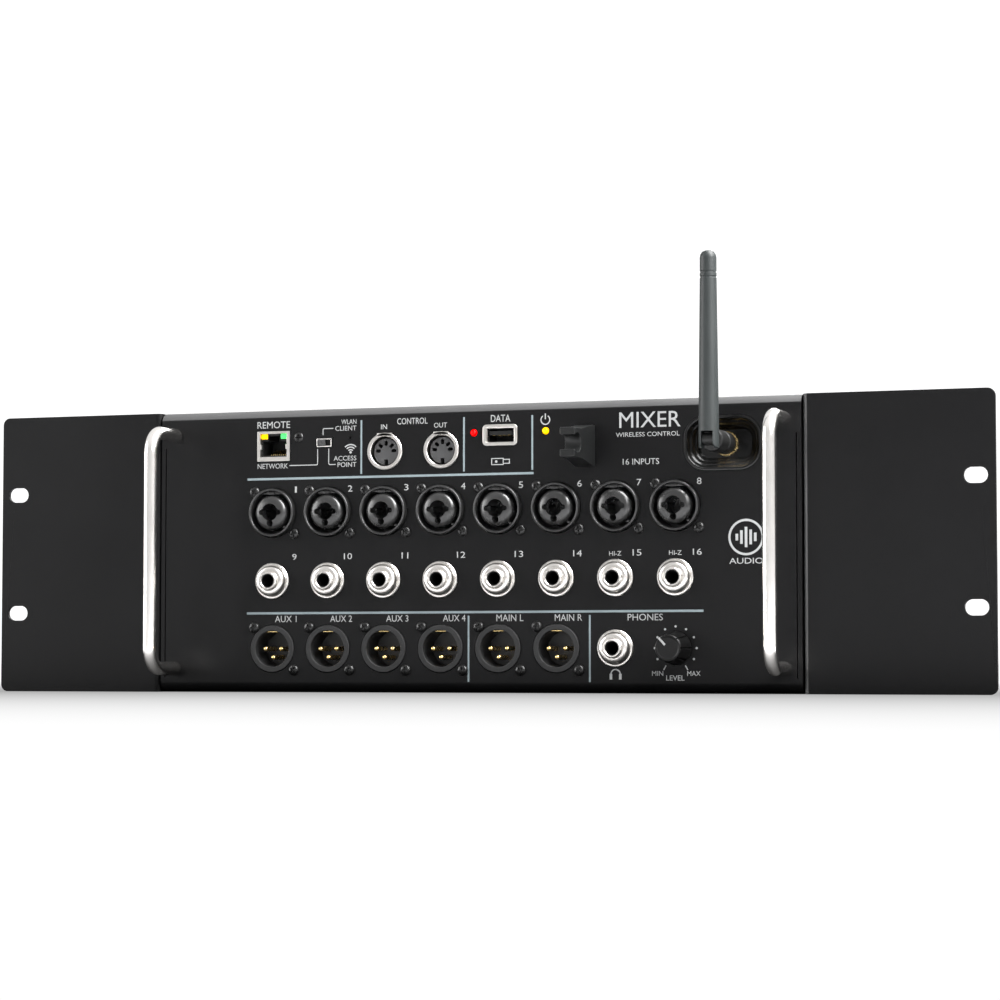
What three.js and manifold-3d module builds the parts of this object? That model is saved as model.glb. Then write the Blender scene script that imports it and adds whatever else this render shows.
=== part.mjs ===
// Rack-mount wireless stage mixer, 3 units high, in millimetres.
// +X is right as seen from the front, the front faces -Y, and +Z is up.
// The origin is the centre of the bottom of the whole object's box.
import * as THREE from "three";
import { mergeVertices } from "three/addons/utils/BufferGeometryUtils.js";
import Module from "manifold-3d";

// ---- Driving dimensions ----

// Clearances between neighbouring pieces
const GAP = 0.3; // a piece resting on or passing through another
const SLIDE_GAP = 0.15; // each side of a slider in its window

// Rack outline and ears
const RACK_WIDTH = 482.6; // 19 inch panel
const RACK_HEIGHT = 132.5; // 3 rack units
const RACK_CORNER = 3.5;
const EAR_SHEET = 2;
const EAR_BEND = 3; // outer radius
const EAR_FLANGE_DEPTH = 72;
const EAR_TO_CASE = 0.4;
const SLOT_FROM_EDGE = 8.75;
const SLOT_SPACING = 57.15;
const SLOT_LENGTH = 10.5;
const SLOT_HEIGHT = 7;
const EAR_SCREW_HOLE_RADIUS = 2.25;

// Case
const CASE_WIDTH = 311.4;
const CASE_DEPTH = 112;
const PANEL_SHEET = 2;
const PANEL_BEND = 3; // outer radius
const PANEL_FLANGE_DEPTH = 14;
const CASE_SHEET = 1.5;
const COVER_LIP = 10;
const SIDE_SLIT_INSET = 2.2;
const SIDE_SLIT_WIDTH = 0.8;
const SIDE_SLIT_FROM_BOTTOM = 7;
const SIDE_SLIT_FROM_TOP = 17;
const VENT_LENGTH = 26;
const VENT_WIDTH = 3;
const VENT_SPACING = 9;
const VENTS_PER_ROW = 8;

// Handles: bent round bar, screwed on from behind the panel
const HANDLE_X = 148;
const HANDLE_RADIUS = 3.2;
const HANDLE_SPACING = 110.4;
const HANDLE_REACH = 27.6; // panel to the grip's axis
const HANDLE_BEND = 10; // at the bar's axis
const HANDLE_SCREW_RADIUS = 2;
const HANDLE_SCREW_LENGTH = 10;
const HANDLE_SCREW_HEAD_RADIUS = 4;
const HANDLE_SCREW_HEAD = 2.6;

// Rows of sockets, up from the bottom edge
const OUTPUT_ROW_Z = 20.3;
const OUTPUT_TO_JACK_ROW = 31.7;
const COMBO_TO_WELL = 1.9; // the plates of the combination sockets, below the antenna's well
const TOP_ROW_FROM_TOP = 20.9;
const COLUMN_GAP = 5; // between neighbouring combination sockets
const SOCKET_PLATE_THICKNESS = 2;
const BOARD_FROM_PANEL = 30;
const SOCKET_PLATE_MARGIN = 2; // above and below a round socket
const SOCKET_PLATE_SPACING = 2; // between neighbouring plates

// Combination sockets
const COMBO_RADIUS = 11.5;
const COMBO_PROUD = 2.8;
const COMBO_RIM = 1.3;
const COMBO_CORE_RADIUS = 8.3;
const COMBO_CORE_PROUD = 3.5;
const COMBO_CORE_CHAMFER = 1;
const COMBO_GROOVE_DEPTH = 12;
const COMBO_BORE_RADIUS = 4.2;
const COMBO_BORE_DEPTH = 22;

// Line jacks and headphone jack
const JACK_NUT_RADIUS = 8.4;
const JACK_NUT_EDGE = 1; // its upright edge
const JACK_NUT_SHOULDER = 4;
const JACK_NUT_TAPER = 0.8;
const JACK_RIM_RADIUS = 4.6;
const JACK_PROUD = 6.2;
const JACK_BORE_RADIUS = 3.25;
const JACK_BORE_DEPTH = 24;
const JACK_THREAD_RADIUS = 4.9;
const JACK_BODY = 15;

// Three-pin output sockets
const OUTPUT_RADIUS = 10.95;
const OUTPUT_PROUD = 0.5;
const OUTPUT_CUP_RADIUS = 8.45;
const OUTPUT_CUP_DEPTH = 12.5;
const PIN_RADIUS = 1.2;
const PIN_CIRCLE = 4;
const PIN_RECESS = 0.6;

// Network socket
const NETWORK_X = -97.7;
const NETWORK_RISE = 3.75; // its centre above the top row's line
const NETWORK_WIDTH = 16.6;
const NETWORK_HEIGHT = 14.1;
const NETWORK_DEPTH = 20;
const NETWORK_PROUD = 0.4;
const NETWORK_MOUTH_WIDTH = 11.9;
const NETWORK_MOUTH_HEIGHT = 6.8;
const NETWORK_MOUTH_DEPTH = 14;
const NETWORK_MOUTH_RISE = 2.5; // above the bottom of its shell
const NETWORK_LATCH_WIDTH = 5;
const NETWORK_LATCH_HEIGHT = 3;
const NETWORK_SCREW_OFFSET = 12.7;
const NETWORK_SCREW_RISE = 3.85;
const NETWORK_SCREW_SHANK = 1.2;
const NETWORK_SCREW_HEAD = 2.1;
const NETWORK_SCREW_PROUD = 1.3;
const NETWORK_SCREW_TAIL = 4; // behind the panel

// Mode switch and reset button
const SWITCH_X = -72;
const SWITCH_RISE = 4.85;
const SWITCH_FRAME_BORDER = 0.6;
const SWITCH_FLANGE = 1; // round its nose, behind the panel
const SWITCH_BODY_DEPTH = 7;
const SLIDER_WIDTH = 3.4;
const SLIDER_HEIGHT = 2.6;
const SLIDER_TRAVEL = 3;
const SLIDER_DEPTH = 4.6;
const SLIDER_PROUD = 0.7;
const RESET_X = -58.7;
const RESET_RISE = 6.8;
const RESET_HOLE_RADIUS = 0.8;
const RESET_STEM_RADIUS = 0.5;
const RESET_RECESS = 0.8;
const RESET_CAP_RADIUS = 1.8;
const RESET_CAP_LENGTH = 8;
const RESET_TRAVEL = 0.5;

// Five-pin round sockets and data port
const ROUND_IN_X = -41.4;
const ROUND_OUT_X = -13.5;
const ROUND_RING_RADIUS = 8.6;
const ROUND_RING_PROUD = 1;
const ROUND_BORE_RADIUS = 6.9;
const ROUND_CORE_RADIUS = 6.2;
const ROUND_CORE_RECESS = 1.2;
const ROUND_GROOVE_DEPTH = 8;
const ROUND_BODY = 14;
const ROUND_DEPTH = 18;
const PORT_X = 15.2;
const PORT_RISE = 6.15;
const PORT_WIDTH = 16.8;
const PORT_HEIGHT = 9.7;
const PORT_MOUTH_WIDTH = 13.2;
const PORT_MOUTH_HEIGHT = 6.6;
const PORT_DEPTH = 16;
const PORT_CORNER = 2;
const PORT_PROUD = 0.9;
const PORT_SHELL = 0.5;
const PORT_TONGUE_WIDTH = 11.2;
const PORT_TONGUE_THICKNESS = 1.9;
const PORT_TONGUE_RECESS = 1.2; // behind the face, and below the top of the mouth

// Lamps
const DATA_LED_X = 2.2;
const POWER_LED_X = 36.9;
const LED_RISE = 7.5;
const LED_RADIUS = 1.5;
const LED_PROUD = 1;
const LED_COLLAR = 0.8;
const LED_COLLAR_DEPTH = 5;

// Antenna, its well and its parking clip
const ANTENNA_X = 119.9;
const WELL_WIDTH = 35.4;
const WELL_HEIGHT = 24.4;
const WELL_CORNER = 10;
const WELL_RIM = 1;
const WELL_LEDGE = 1.6;
const WELL_STEPS = 3;
const WELL_DEPTH = 7;
const WELL_FLOOR = 2;
const CONNECTOR_FLANGE_RADIUS = 5.6;
const CONNECTOR_FLANGE = 1.5;
const CONNECTOR_THREAD_RADIUS = 3.1;
const CONNECTOR_LENGTH = 8;
const CONNECTOR_TAIL = 6;
const SWIVEL_RADIUS = 5.15;
const HINGE_REACH = 23; // panel to the hinge pin
const KNUCKLE_RADIUS = 2.7;
const KNUCKLE_WIDTH = 4.8;
const HINGE_PIN_RADIUS = 0.9;
const HINGE_PIN_INSET = 0.6; // from each side of the fork
const MAST_BASE_RADIUS = 4.15;
const MAST_BASE_HEIGHT = 9;
const FOOT_MARGIN = 0.05; // the foot's round end, over the mast
const FOOT_SIDE_MARGIN = 0.5; // each side of the mast, across the fork
const MAST_TIP_RADIUS = 3.7;
const MAST_LENGTH = 81.9; // hinge pin to tip
const FORK_SLOT_RISE = 3.4;
const CLIP_X = 56.1;
const CLIP_BASE_WIDTH = 9.4;
const CLIP_FRONT_WIDTH = 6.8;
const CLIP_WALL = 2.15; // above and below its channel
const CLIP_GUSSET = 2.7; // rise from the front to the base, above and below
const CLIP_MOUTH = 3.3; // half height of its mouth
const CLIP_LIP = 4.2; // lips' length past the hinge's line
const CLIP_BASE = 3;
const CLIP_NOSE = 9; // its upright front

// Level control
const KNOB_RADIUS = 7.6;
const KNOB_FRONT_RADIUS = 6;
const KNOB_PROUD = 13;
const KNOB_OFF_PANEL = 1.2;
const KNOB_ROOF = 2;
const SHAFT_RADIUS = 3;
const BUSHING_RADIUS = 4.6;
const BUSHING_PROUD = 3;
const POTENTIOMETER_BODY = 17;
const POTENTIOMETER_DEPTH = 11;

// Main board: upright, on stand-offs from the panel
const BOARD_THICKNESS = 1.6;
const BOARD_FROM_BOTTOM = 6;
const BOARD_FROM_TOP = 8;
const BOARD_EDGE = 10; // beyond the stand-offs
const STANDOFF_RADIUS = 3;
const STANDOFF_SHIFT = 0.5; // outward from midway between the socket plates and the handles
const STANDOFF_ROWS = [10, 66];
const PROCESSOR_SIZE = 24;
const PROCESSOR_HEIGHT = 2;
const PREAMPLIFIER_WIDTH = 60;
const PREAMPLIFIER_RISE = 12;
const PREAMPLIFIER_HEIGHT = 6;

// Power supply and heat sink, on the tray's bottom
const SUPPLY_X = 40;
const SUPPLY_WIDTH = 120;
const SUPPLY_START = 48; // behind the panel
const SUPPLY_DEPTH = 38;
const SUPPLY_Z = 8;
const SUPPLY_FOOT_RADIUS = 2.5;
const SUPPLY_FOOT_INSET = 6;
const TRANSFORMER_X = 35;
const TRANSFORMER_WIDTH = 30;
const TRANSFORMER_DEPTH = 26;
const TRANSFORMER_TOP = 34;
const CAPACITOR_RADIUS = 7;
const CAPACITOR_TOP = 36;
const CAPACITORS_X = [64, 84];
const SINK_X = -51;
const SINK_WIDTH = 22;
const SINK_BASE = 3;
const SINK_TOP = 38;
const FIN_COUNT = 6;
const FIN_THICKNESS = 2;
const FIN_PITCH = 6;

// Radio board behind the antenna's well
const RADIO_WIDTH = 36;
const RADIO_HEIGHT = 24;
const RADIO_THICKNESS = 1.2;
const RADIO_CAN_WIDTH = 18;
const RADIO_CAN_HEIGHT = 16;
const RADIO_CAN_DEPTH = 2.4;

// Rear: mains inlet and power switch
const INLET_X = 112;
const INLET_Z = 32;
const INLET_FLANGE_WIDTH = 31;
const INLET_FLANGE_HEIGHT = 25;
const INLET_FLANGE = 2.8;
const INLET_BODY_WIDTH = 27;
const INLET_BODY_HEIGHT = 20;
const INLET_MOUTH_WIDTH = 24.2;
const INLET_MOUTH_HEIGHT = 16.6;
const INLET_MOUTH_DEPTH = 16;
const INLET_DEPTH = 22;
const INLET_PIN_SPACING = 7;
const INLET_PIN_RISE = 2;
const INLET_PIN_WIDTH = 2;
const INLET_PIN_HEIGHT = 4;
const POWER_SWITCH_X = 78;
const ROCKER_WIDTH = 10.6;
const ROCKER_RADIUS = 9;
const ROCKER_CORNER_ANGLE = THREE.MathUtils.degToRad(52);
const ROCKER_BACK_ANGLE = THREE.MathUtils.degToRad(104);
const ROCKER_VALLEY = 3.2;
const ROCKER_THROW = THREE.MathUtils.degToRad(12); // each way from the middle
const ROCKER_PIVOT_RECESS = 2.2;
const POWER_FRAME_BORDER = 2.4;
const POWER_FRAME_FLANGE = 1.6;
const POWER_FRAME_DEPTH = 14;

// ---- Places worked out from the driving dimensions ----

const HALF_CASE = CASE_WIDTH / 2;
const PANEL_BACK = PANEL_SHEET + GAP;
const JACK_ROW_Z = OUTPUT_ROW_Z + OUTPUT_TO_JACK_ROW;
const TOP_ROW_Z = RACK_HEIGHT - TOP_ROW_FROM_TOP;
const COMBO_PLATE_HEIGHT = 2 * (COMBO_RADIUS + SOCKET_PLATE_MARGIN);
const WELL_BOTTOM = TOP_ROW_Z - WELL_HEIGHT / 2;
const COMBO_ROW_Z = WELL_BOTTOM - COMBO_TO_WELL - COMBO_PLATE_HEIGHT / 2;
const COLUMN_PITCH = 2 * COMBO_RADIUS + COLUMN_GAP;
const columnX = (column) => (column - 4.5) * COLUMN_PITCH;
const BODY_BACK = BOARD_FROM_PANEL - GAP;
const FOOT_RADIUS = MAST_BASE_RADIUS + FOOT_MARGIN;
const MAST_BASE_WIDTH = 2 * (MAST_BASE_RADIUS + FOOT_SIDE_MARGIN);
const CLIP_CHANNEL_RADIUS = MAST_BASE_RADIUS + GAP;
const CLIP_FRONT_HEIGHT = 2 * (CLIP_CHANNEL_RADIUS + CLIP_WALL);
const CLIP_BASE_HEIGHT = CLIP_FRONT_HEIGHT + 2 * CLIP_GUSSET;
const FRONT_REACH = HANDLE_REACH + HANDLE_RADIUS;
const ROCKER_REACH =
  ROCKER_RADIUS * Math.cos(ROCKER_CORNER_ANGLE - ROCKER_THROW) - ROCKER_PIVOT_RECESS;
const REAR_REACH = CASE_DEPTH + Math.max(ROCKER_REACH, INLET_FLANGE + GAP);
const PANEL_Y = (FRONT_REACH - REAR_REACH) / 2;

// ---- Shaping ----

const wasm = await Module();
wasm.setup();

function solid(geometry) {
  const bare = geometry.clone();
  bare.deleteAttribute("normal");
  bare.deleteAttribute("uv");
  const merged = mergeVertices(bare, 1e-4);
  const mesh = new wasm.Mesh({
    numProp: 3,
    vertProperties: merged.attributes.position.array,
    triVerts: new Uint32Array(merged.index.array),
  });
  return new wasm.Manifold(mesh);
}

function surface(manifold) {
  const mesh = manifold.getMesh();
  const positions = new THREE.BufferAttribute(mesh.vertProperties, 3);
  const geometry = new THREE.BufferGeometry().setAttribute("position", positions);
  geometry.setIndex(new THREE.BufferAttribute(mesh.triVerts, 1));
  return geometry;
}

function join(...geometries) {
  return surface(geometries.map(solid).reduce((whole, next) => whole.add(next)));
}

function cut(geometry, ...tools) {
  const start = solid(geometry);
  return surface(tools.map(solid).reduce((whole, tool) => whole.subtract(tool), start));
}

function trim(geometry, outline) {
  return surface(solid(geometry).intersect(solid(outline)));
}

function block(x0, x1, y0, y1, z0, z1) {
  const box = new THREE.BoxGeometry(x1 - x0, y1 - y0, z1 - z0);
  return box.translate((x0 + x1) / 2, (y0 + y1) / 2, (z0 + z1) / 2);
}

// A box by its width and height round (x, z), from y0 to y1
function bar(width, height, y0, y1, x = 0, z = 0) {
  return block(x - width / 2, x + width / 2, y0, y1, z - height / 2, z + height / 2);
}

function rodY(radius, y0, y1, x = 0, z = 0, sides = 12) {
  const rod = new THREE.CylinderGeometry(radius, radius, y1 - y0, sides);
  return rod.translate(x, (y0 + y1) / 2, z);
}

function rodX(radius, x0, x1, y = 0, z = 0, sides = 12) {
  const rod = new THREE.CylinderGeometry(radius, radius, x1 - x0, sides);
  return rod.rotateZ(Math.PI / 2).translate((x0 + x1) / 2, y, z);
}

function rodZ(radius, z0, z1, x = 0, y = 0, sides = 12) {
  const rod = new THREE.CylinderGeometry(radius, radius, z1 - z0, sides);
  return rod.rotateX(Math.PI / 2).translate(x, y, (z0 + z1) / 2);
}

// Turned about the Y axis: the profile's points are [radius, y], front first
function turned(profile, sides = 12) {
  const points = profile.map(([radius, y]) => new THREE.Vector2(radius, y));
  return new THREE.LatheGeometry(points, sides);
}

// An outline in X and Z, from y0 to y1
function plate(shape, y0, y1, curveSegments = 4) {
  const options = { depth: y1 - y0, bevelEnabled: false, curveSegments };
  return new THREE.ExtrudeGeometry(shape, options).rotateX(Math.PI / 2).translate(0, y1, 0);
}

// A profile in Y and Z, from x0 to x1
function profileX(shape, x0, x1, curveSegments = 4) {
  const options = { depth: x1 - x0, bevelEnabled: false, curveSegments };
  const turn = new THREE.Matrix4().makeBasis(
    new THREE.Vector3(0, 1, 0),
    new THREE.Vector3(0, 0, 1),
    new THREE.Vector3(1, 0, 0),
  );
  return new THREE.ExtrudeGeometry(shape, options).applyMatrix4(turn).translate(x0, 0, 0);
}

// A profile in X and Y, from z0 to z1
function profileZ(shape, z0, z1, curveSegments = 4) {
  const options = { depth: z1 - z0, bevelEnabled: false, curveSegments };
  return new THREE.ExtrudeGeometry(shape, options).translate(0, 0, z0);
}

function outline(points) {
  return new THREE.Shape(points.map(([x, y]) => new THREE.Vector2(x, y)));
}

function roundedRectangle(width, height, radius, x = 0, z = 0) {
  const shape = new THREE.Shape();
  const right = x + width / 2 - radius;
  const left = x - width / 2 + radius;
  const top = z + height / 2 - radius;
  const bottom = z - height / 2 + radius;
  shape.absarc(right, top, radius, 0, Math.PI / 2);
  shape.absarc(left, top, radius, Math.PI / 2, Math.PI);
  shape.absarc(left, bottom, radius, Math.PI, 1.5 * Math.PI);
  shape.absarc(right, bottom, radius, 1.5 * Math.PI, 2 * Math.PI);
  return shape;
}

// ---- Finishes ----

const finish = (color, roughness, metalness) =>
  new THREE.MeshStandardMaterial({ color, roughness, metalness });
const BLACK_PAINT = finish(0x1c1c1d, 0.45, 0.2);
const BLACK_PLASTIC = finish(0x161617, 0.5, 0);
const GREY_PLASTIC = finish(0x3c3d3d, 0.55, 0);
const ANTENNA_PLASTIC = finish(0x555a59, 0.5, 0);
const NICKEL = finish(0xc9c4bb, 0.3, 1);
const GOLD = finish(0xc8a24a, 0.3, 1);
const BARE_STEEL = finish(0x9a9c9e, 0.35, 1);
const BOARD = finish(0x14532b, 0.6, 0);
const RED_LENS = finish(0xd41810, 0.3, 0);
const YELLOW_LENS = finish(0xf2d21a, 0.3, 0);

const mixer = new THREE.Group();
const front = new THREE.Group();
const rear = new THREE.Group();
front.position.y = PANEL_Y;
rear.position.y = PANEL_Y + CASE_DEPTH;
mixer.add(front, rear);

function piece(name, geometry, material, parent, x = 0, y = 0, z = 0) {
  const mesh = new THREE.Mesh(geometry, material);
  mesh.name = name;
  mesh.position.set(x, y, z);
  parent.add(mesh);
  return mesh;
}

// ---- Antenna well: its outline is also the panel's cut-out ----

const WELL_CURVE_STEPS = 3;

const wellOutline = (inset) =>
  roundedRectangle(
    WELL_WIDTH - 2 * inset,
    WELL_HEIGHT - 2 * inset,
    WELL_CORNER - inset,
    ANTENNA_X,
    TOP_ROW_Z,
  );

function antennaWell() {
  let well = plate(wellOutline(0), 0, WELL_DEPTH + WELL_FLOOR, WELL_CURVE_STEPS);
  for (let step = 1; step <= WELL_STEPS; step += 1) {
    const inset = WELL_RIM + (step - 1) * WELL_LEDGE;
    const depth = (step * WELL_DEPTH) / WELL_STEPS;
    well = cut(well, plate(wellOutline(inset), -1, depth, WELL_CURVE_STEPS));
  }
  const threadHole = CONNECTOR_THREAD_RADIUS + GAP;
  const deep = WELL_DEPTH + WELL_FLOOR + 1;
  return cut(well, rodY(threadHole, 0, deep, ANTENNA_X, TOP_ROW_Z));
}

// ---- Sheet metal ----

// Face with its top and bottom edges bent back
function bentPanelProfile() {
  const inner = PANEL_BEND - PANEL_SHEET;
  const bottom = PANEL_BEND;
  const top = RACK_HEIGHT - PANEL_BEND;
  const shape = new THREE.Shape();
  shape.moveTo(PANEL_FLANGE_DEPTH, 0);
  shape.lineTo(PANEL_FLANGE_DEPTH, PANEL_SHEET);
  shape.lineTo(PANEL_BEND, PANEL_SHEET);
  shape.absarc(PANEL_BEND, bottom, inner, -Math.PI / 2, -Math.PI, true);
  shape.absarc(PANEL_BEND, top, inner, Math.PI, Math.PI / 2, true);
  shape.lineTo(PANEL_FLANGE_DEPTH, RACK_HEIGHT - PANEL_SHEET);
  shape.lineTo(PANEL_FLANGE_DEPTH, RACK_HEIGHT);
  shape.absarc(PANEL_BEND, top, PANEL_BEND, Math.PI / 2, Math.PI);
  shape.absarc(PANEL_BEND, bottom, PANEL_BEND, Math.PI, 1.5 * Math.PI);
  return shape;
}

const handleLegs = [];
for (const side of [-1, 1]) {
  for (const end of [-1, 1]) {
    handleLegs.push([side * HANDLE_X, RACK_HEIGHT / 2 + (end * HANDLE_SPACING) / 2]);
  }
}

const SWITCH_WINDOW_WIDTH = SLIDER_WIDTH + SLIDER_TRAVEL + 2 * SLIDE_GAP;
const SWITCH_WINDOW_HEIGHT = SLIDER_HEIGHT + 2 * SLIDE_GAP;
const SWITCH_NOSE_WIDTH = SWITCH_WINDOW_WIDTH + 2 * SWITCH_FRAME_BORDER;
const SWITCH_NOSE_HEIGHT = SWITCH_WINDOW_HEIGHT + 2 * SWITCH_FRAME_BORDER;
const PORT_SHELL_WIDTH = PORT_MOUTH_WIDTH + 2 * PORT_SHELL;
const PORT_SHELL_HEIGHT = PORT_MOUTH_HEIGHT + 2 * PORT_SHELL;
const KNOB_X = columnX(8);
const NETWORK_SCREW_X = NETWORK_X + NETWORK_SCREW_OFFSET;
const NETWORK_Z = TOP_ROW_Z + NETWORK_RISE;
const NETWORK_SCREW_Z = NETWORK_Z + NETWORK_SCREW_RISE;

function panelHoles() {
  const back = PANEL_SHEET + 1;
  const round = (radius, x, z, sides = 12) => rodY(radius + GAP, -1, back, x, z, sides);
  const square = (width, height, x, z) => bar(width + 2 * GAP, height + 2 * GAP, -1, back, x, z);
  const holes = [];
  for (let column = 1; column <= 8; column += 1) {
    holes.push(round(COMBO_RADIUS, columnX(column), COMBO_ROW_Z));
    holes.push(round(JACK_THREAD_RADIUS, columnX(column), JACK_ROW_Z));
  }
  for (let column = 1; column <= 6; column += 1) {
    holes.push(round(OUTPUT_RADIUS, columnX(column), OUTPUT_ROW_Z));
  }
  holes.push(round(JACK_THREAD_RADIUS, columnX(7), OUTPUT_ROW_Z));
  holes.push(round(BUSHING_RADIUS, KNOB_X, OUTPUT_ROW_Z));
  holes.push(square(NETWORK_WIDTH, NETWORK_HEIGHT, NETWORK_X, NETWORK_Z));
  holes.push(round(NETWORK_SCREW_SHANK, NETWORK_SCREW_X, NETWORK_SCREW_Z, 8));
  const switchZ = TOP_ROW_Z + SWITCH_RISE;
  holes.push(square(SWITCH_NOSE_WIDTH, SWITCH_NOSE_HEIGHT, SWITCH_X, switchZ));
  const resetHole = RESET_HOLE_RADIUS - GAP;
  holes.push(round(resetHole, RESET_X, TOP_ROW_Z + RESET_RISE, 8));
  holes.push(round(ROUND_BORE_RADIUS, ROUND_IN_X, TOP_ROW_Z));
  holes.push(round(ROUND_BORE_RADIUS, ROUND_OUT_X, TOP_ROW_Z));
  holes.push(square(PORT_SHELL_WIDTH, PORT_SHELL_HEIGHT, PORT_X, TOP_ROW_Z + PORT_RISE));
  holes.push(round(LED_RADIUS, DATA_LED_X, TOP_ROW_Z + LED_RISE, 10));
  holes.push(round(LED_RADIUS, POWER_LED_X, TOP_ROW_Z + LED_RISE, 10));
  holes.push(plate(wellOutline(-GAP), -1, back, WELL_CURVE_STEPS));
  for (const [x, z] of handleLegs) {
    holes.push(round(HANDLE_SCREW_RADIUS, x, z, 10));
  }
  for (const side of [-1, 1]) {
    const x = side * (HALF_CASE - SIDE_SLIT_INSET);
    const half = SIDE_SLIT_WIDTH / 2;
    const top = RACK_HEIGHT - SIDE_SLIT_FROM_TOP;
    holes.push(block(x - half, x + half, -1, back, SIDE_SLIT_FROM_BOTTOM, top));
  }
  return holes;
}

const panel = profileX(bentPanelProfile(), -HALF_CASE, HALF_CASE);
piece("front_panel", cut(panel, ...panelHoles()), BLACK_PAINT, front);

const EAR_SCREWS = [
  [22, 18],
  [22, RACK_HEIGHT - 18],
  [60, RACK_HEIGHT / 2],
]; // depth behind the panel, height

const WALL_TOP = RACK_HEIGHT - CASE_SHEET - GAP;
const WALL_INSIDE = HALF_CASE - CASE_SHEET;
const BOTTOM_START = PANEL_FLANGE_DEPTH + GAP;

function ventRow(centreX, y0, y1, z0, z1) {
  const slots = [];
  for (let slot = 0; slot < VENTS_PER_ROW; slot += 1) {
    const x = centreX + (slot - (VENTS_PER_ROW - 1) / 2) * VENT_SPACING;
    slots.push(block(x - VENT_WIDTH / 2, x + VENT_WIDTH / 2, y0, y1, z0, z1));
  }
  return slots;
}

const INLET_OPENING = [INLET_BODY_WIDTH + 2 * GAP, INLET_BODY_HEIGHT + 2 * GAP];
const ROCKER_OPENING_WIDTH = ROCKER_WIDTH + 2 * GAP;
const ROCKER_OPENING_HEIGHT = 2 * (ROCKER_RADIUS + GAP);
const POWER_BODY_WIDTH = ROCKER_OPENING_WIDTH + POWER_FRAME_BORDER;
const POWER_BODY_HEIGHT = ROCKER_OPENING_HEIGHT + POWER_FRAME_BORDER;

// Folded tray: bottom, rear wall and two side walls that reach the panel
function chassisTray() {
  const nose = PANEL_BACK;
  const flangeTop = RACK_HEIGHT - PANEL_SHEET - GAP;
  const rearInside = CASE_DEPTH - CASE_SHEET;
  let tray = join(
    block(-HALF_CASE, HALF_CASE, BOTTOM_START, CASE_DEPTH, 0, CASE_SHEET),
    block(-HALF_CASE, HALF_CASE, rearInside, CASE_DEPTH, 0, WALL_TOP),
    ...[-1, 1].flatMap((side) => {
      const outer = side * HALF_CASE;
      const inner = side * WALL_INSIDE;
      const x0 = Math.min(outer, inner);
      const x1 = Math.max(outer, inner);
      return [
        block(x0, x1, BOTTOM_START, CASE_DEPTH, 0, WALL_TOP),
        block(x0, x1, nose, BOTTOM_START + 1, PANEL_BACK, flangeTop),
      ];
    }),
  );
  const ventBottom = RACK_HEIGHT / 2 + 4;
  const ventTop = ventBottom + VENT_LENGTH;
  tray = cut(
    tray,
    ...ventRow(-60, rearInside - 1, CASE_DEPTH + 1, ventBottom, ventTop),
    bar(...INLET_OPENING, rearInside - 1, CASE_DEPTH + 1, INLET_X, INLET_Z),
    bar(
      POWER_BODY_WIDTH + 2 * GAP,
      POWER_BODY_HEIGHT + 2 * GAP,
      rearInside - 1,
      CASE_DEPTH + 1,
      POWER_SWITCH_X,
      INLET_Z,
    ),
    ...EAR_SCREWS.map(([y, z]) =>
      rodX(EAR_SCREW_HOLE_RADIUS, -HALF_CASE - 1, HALF_CASE + 1, y, z, 8),
    ),
  );
  return tray;
}

piece("chassis_tray", chassisTray(), BLACK_PAINT, front);

// Flat lid with a lip down each side, inside the tray's walls
function topCover() {
  const lipOuter = WALL_INSIDE - GAP;
  const lipInner = lipOuter - CASE_SHEET;
  const lipBottom = RACK_HEIGHT - COVER_LIP;
  const under = RACK_HEIGHT - CASE_SHEET;
  const rearEnd = CASE_DEPTH - CASE_SHEET - GAP;
  const lid = join(
    block(-HALF_CASE, HALF_CASE, BOTTOM_START, CASE_DEPTH, under, RACK_HEIGHT),
    block(lipInner, lipOuter, BOTTOM_START, rearEnd, lipBottom, RACK_HEIGHT - CASE_SHEET / 2),
    block(-lipOuter, -lipInner, BOTTOM_START, rearEnd, lipBottom, RACK_HEIGHT - CASE_SHEET / 2),
  );
  const ventStart = CASE_DEPTH - 16 - VENT_LENGTH;
  const vents = [-70, 70].flatMap((x) =>
    ventRow(x, ventStart, ventStart + VENT_LENGTH, under - 1, RACK_HEIGHT + 1),
  );
  return cut(lid, ...vents);
}

piece("top_cover", topCover(), BLACK_PAINT, front);

// Angle bracket: a front plate with two slots, bent back into a flange beside the case
function rackEar() {
  const inside = HALF_CASE + EAR_TO_CASE;
  const bendX = inside + EAR_BEND;
  const edge = RACK_WIDTH / 2;
  const shape = new THREE.Shape();
  shape.moveTo(edge, 0);
  shape.lineTo(edge, EAR_SHEET);
  shape.absarc(bendX, EAR_BEND, EAR_BEND - EAR_SHEET, 1.5 * Math.PI, Math.PI, true);
  shape.lineTo(inside + EAR_SHEET, EAR_FLANGE_DEPTH);
  shape.lineTo(inside, EAR_FLANGE_DEPTH);
  shape.absarc(bendX, EAR_BEND, EAR_BEND, Math.PI, 1.5 * Math.PI);
  const rackOutline = roundedRectangle(RACK_WIDTH, RACK_HEIGHT, RACK_CORNER, 0, RACK_HEIGHT / 2);
  const ear = trim(
    profileZ(shape, 0, RACK_HEIGHT),
    plate(rackOutline, -1, EAR_FLANGE_DEPTH + 1),
  );
  const slots = [-1, 1].map((end) => {
    const z = RACK_HEIGHT / 2 + (end * SLOT_SPACING) / 2;
    const slot = roundedRectangle(
      SLOT_LENGTH,
      SLOT_HEIGHT,
      SLOT_HEIGHT * 0.49,
      edge - SLOT_FROM_EDGE,
      z,
    );
    return plate(slot, -1, EAR_SHEET + 1, 3);
  });
  const screwHoles = EAR_SCREWS.map(([y, z]) =>
    rodX(EAR_SCREW_HOLE_RADIUS, inside - 1, inside + EAR_SHEET + 1, y, z, 8),
  );
  return cut(ear, ...slots, ...screwHoles);
}

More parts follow.
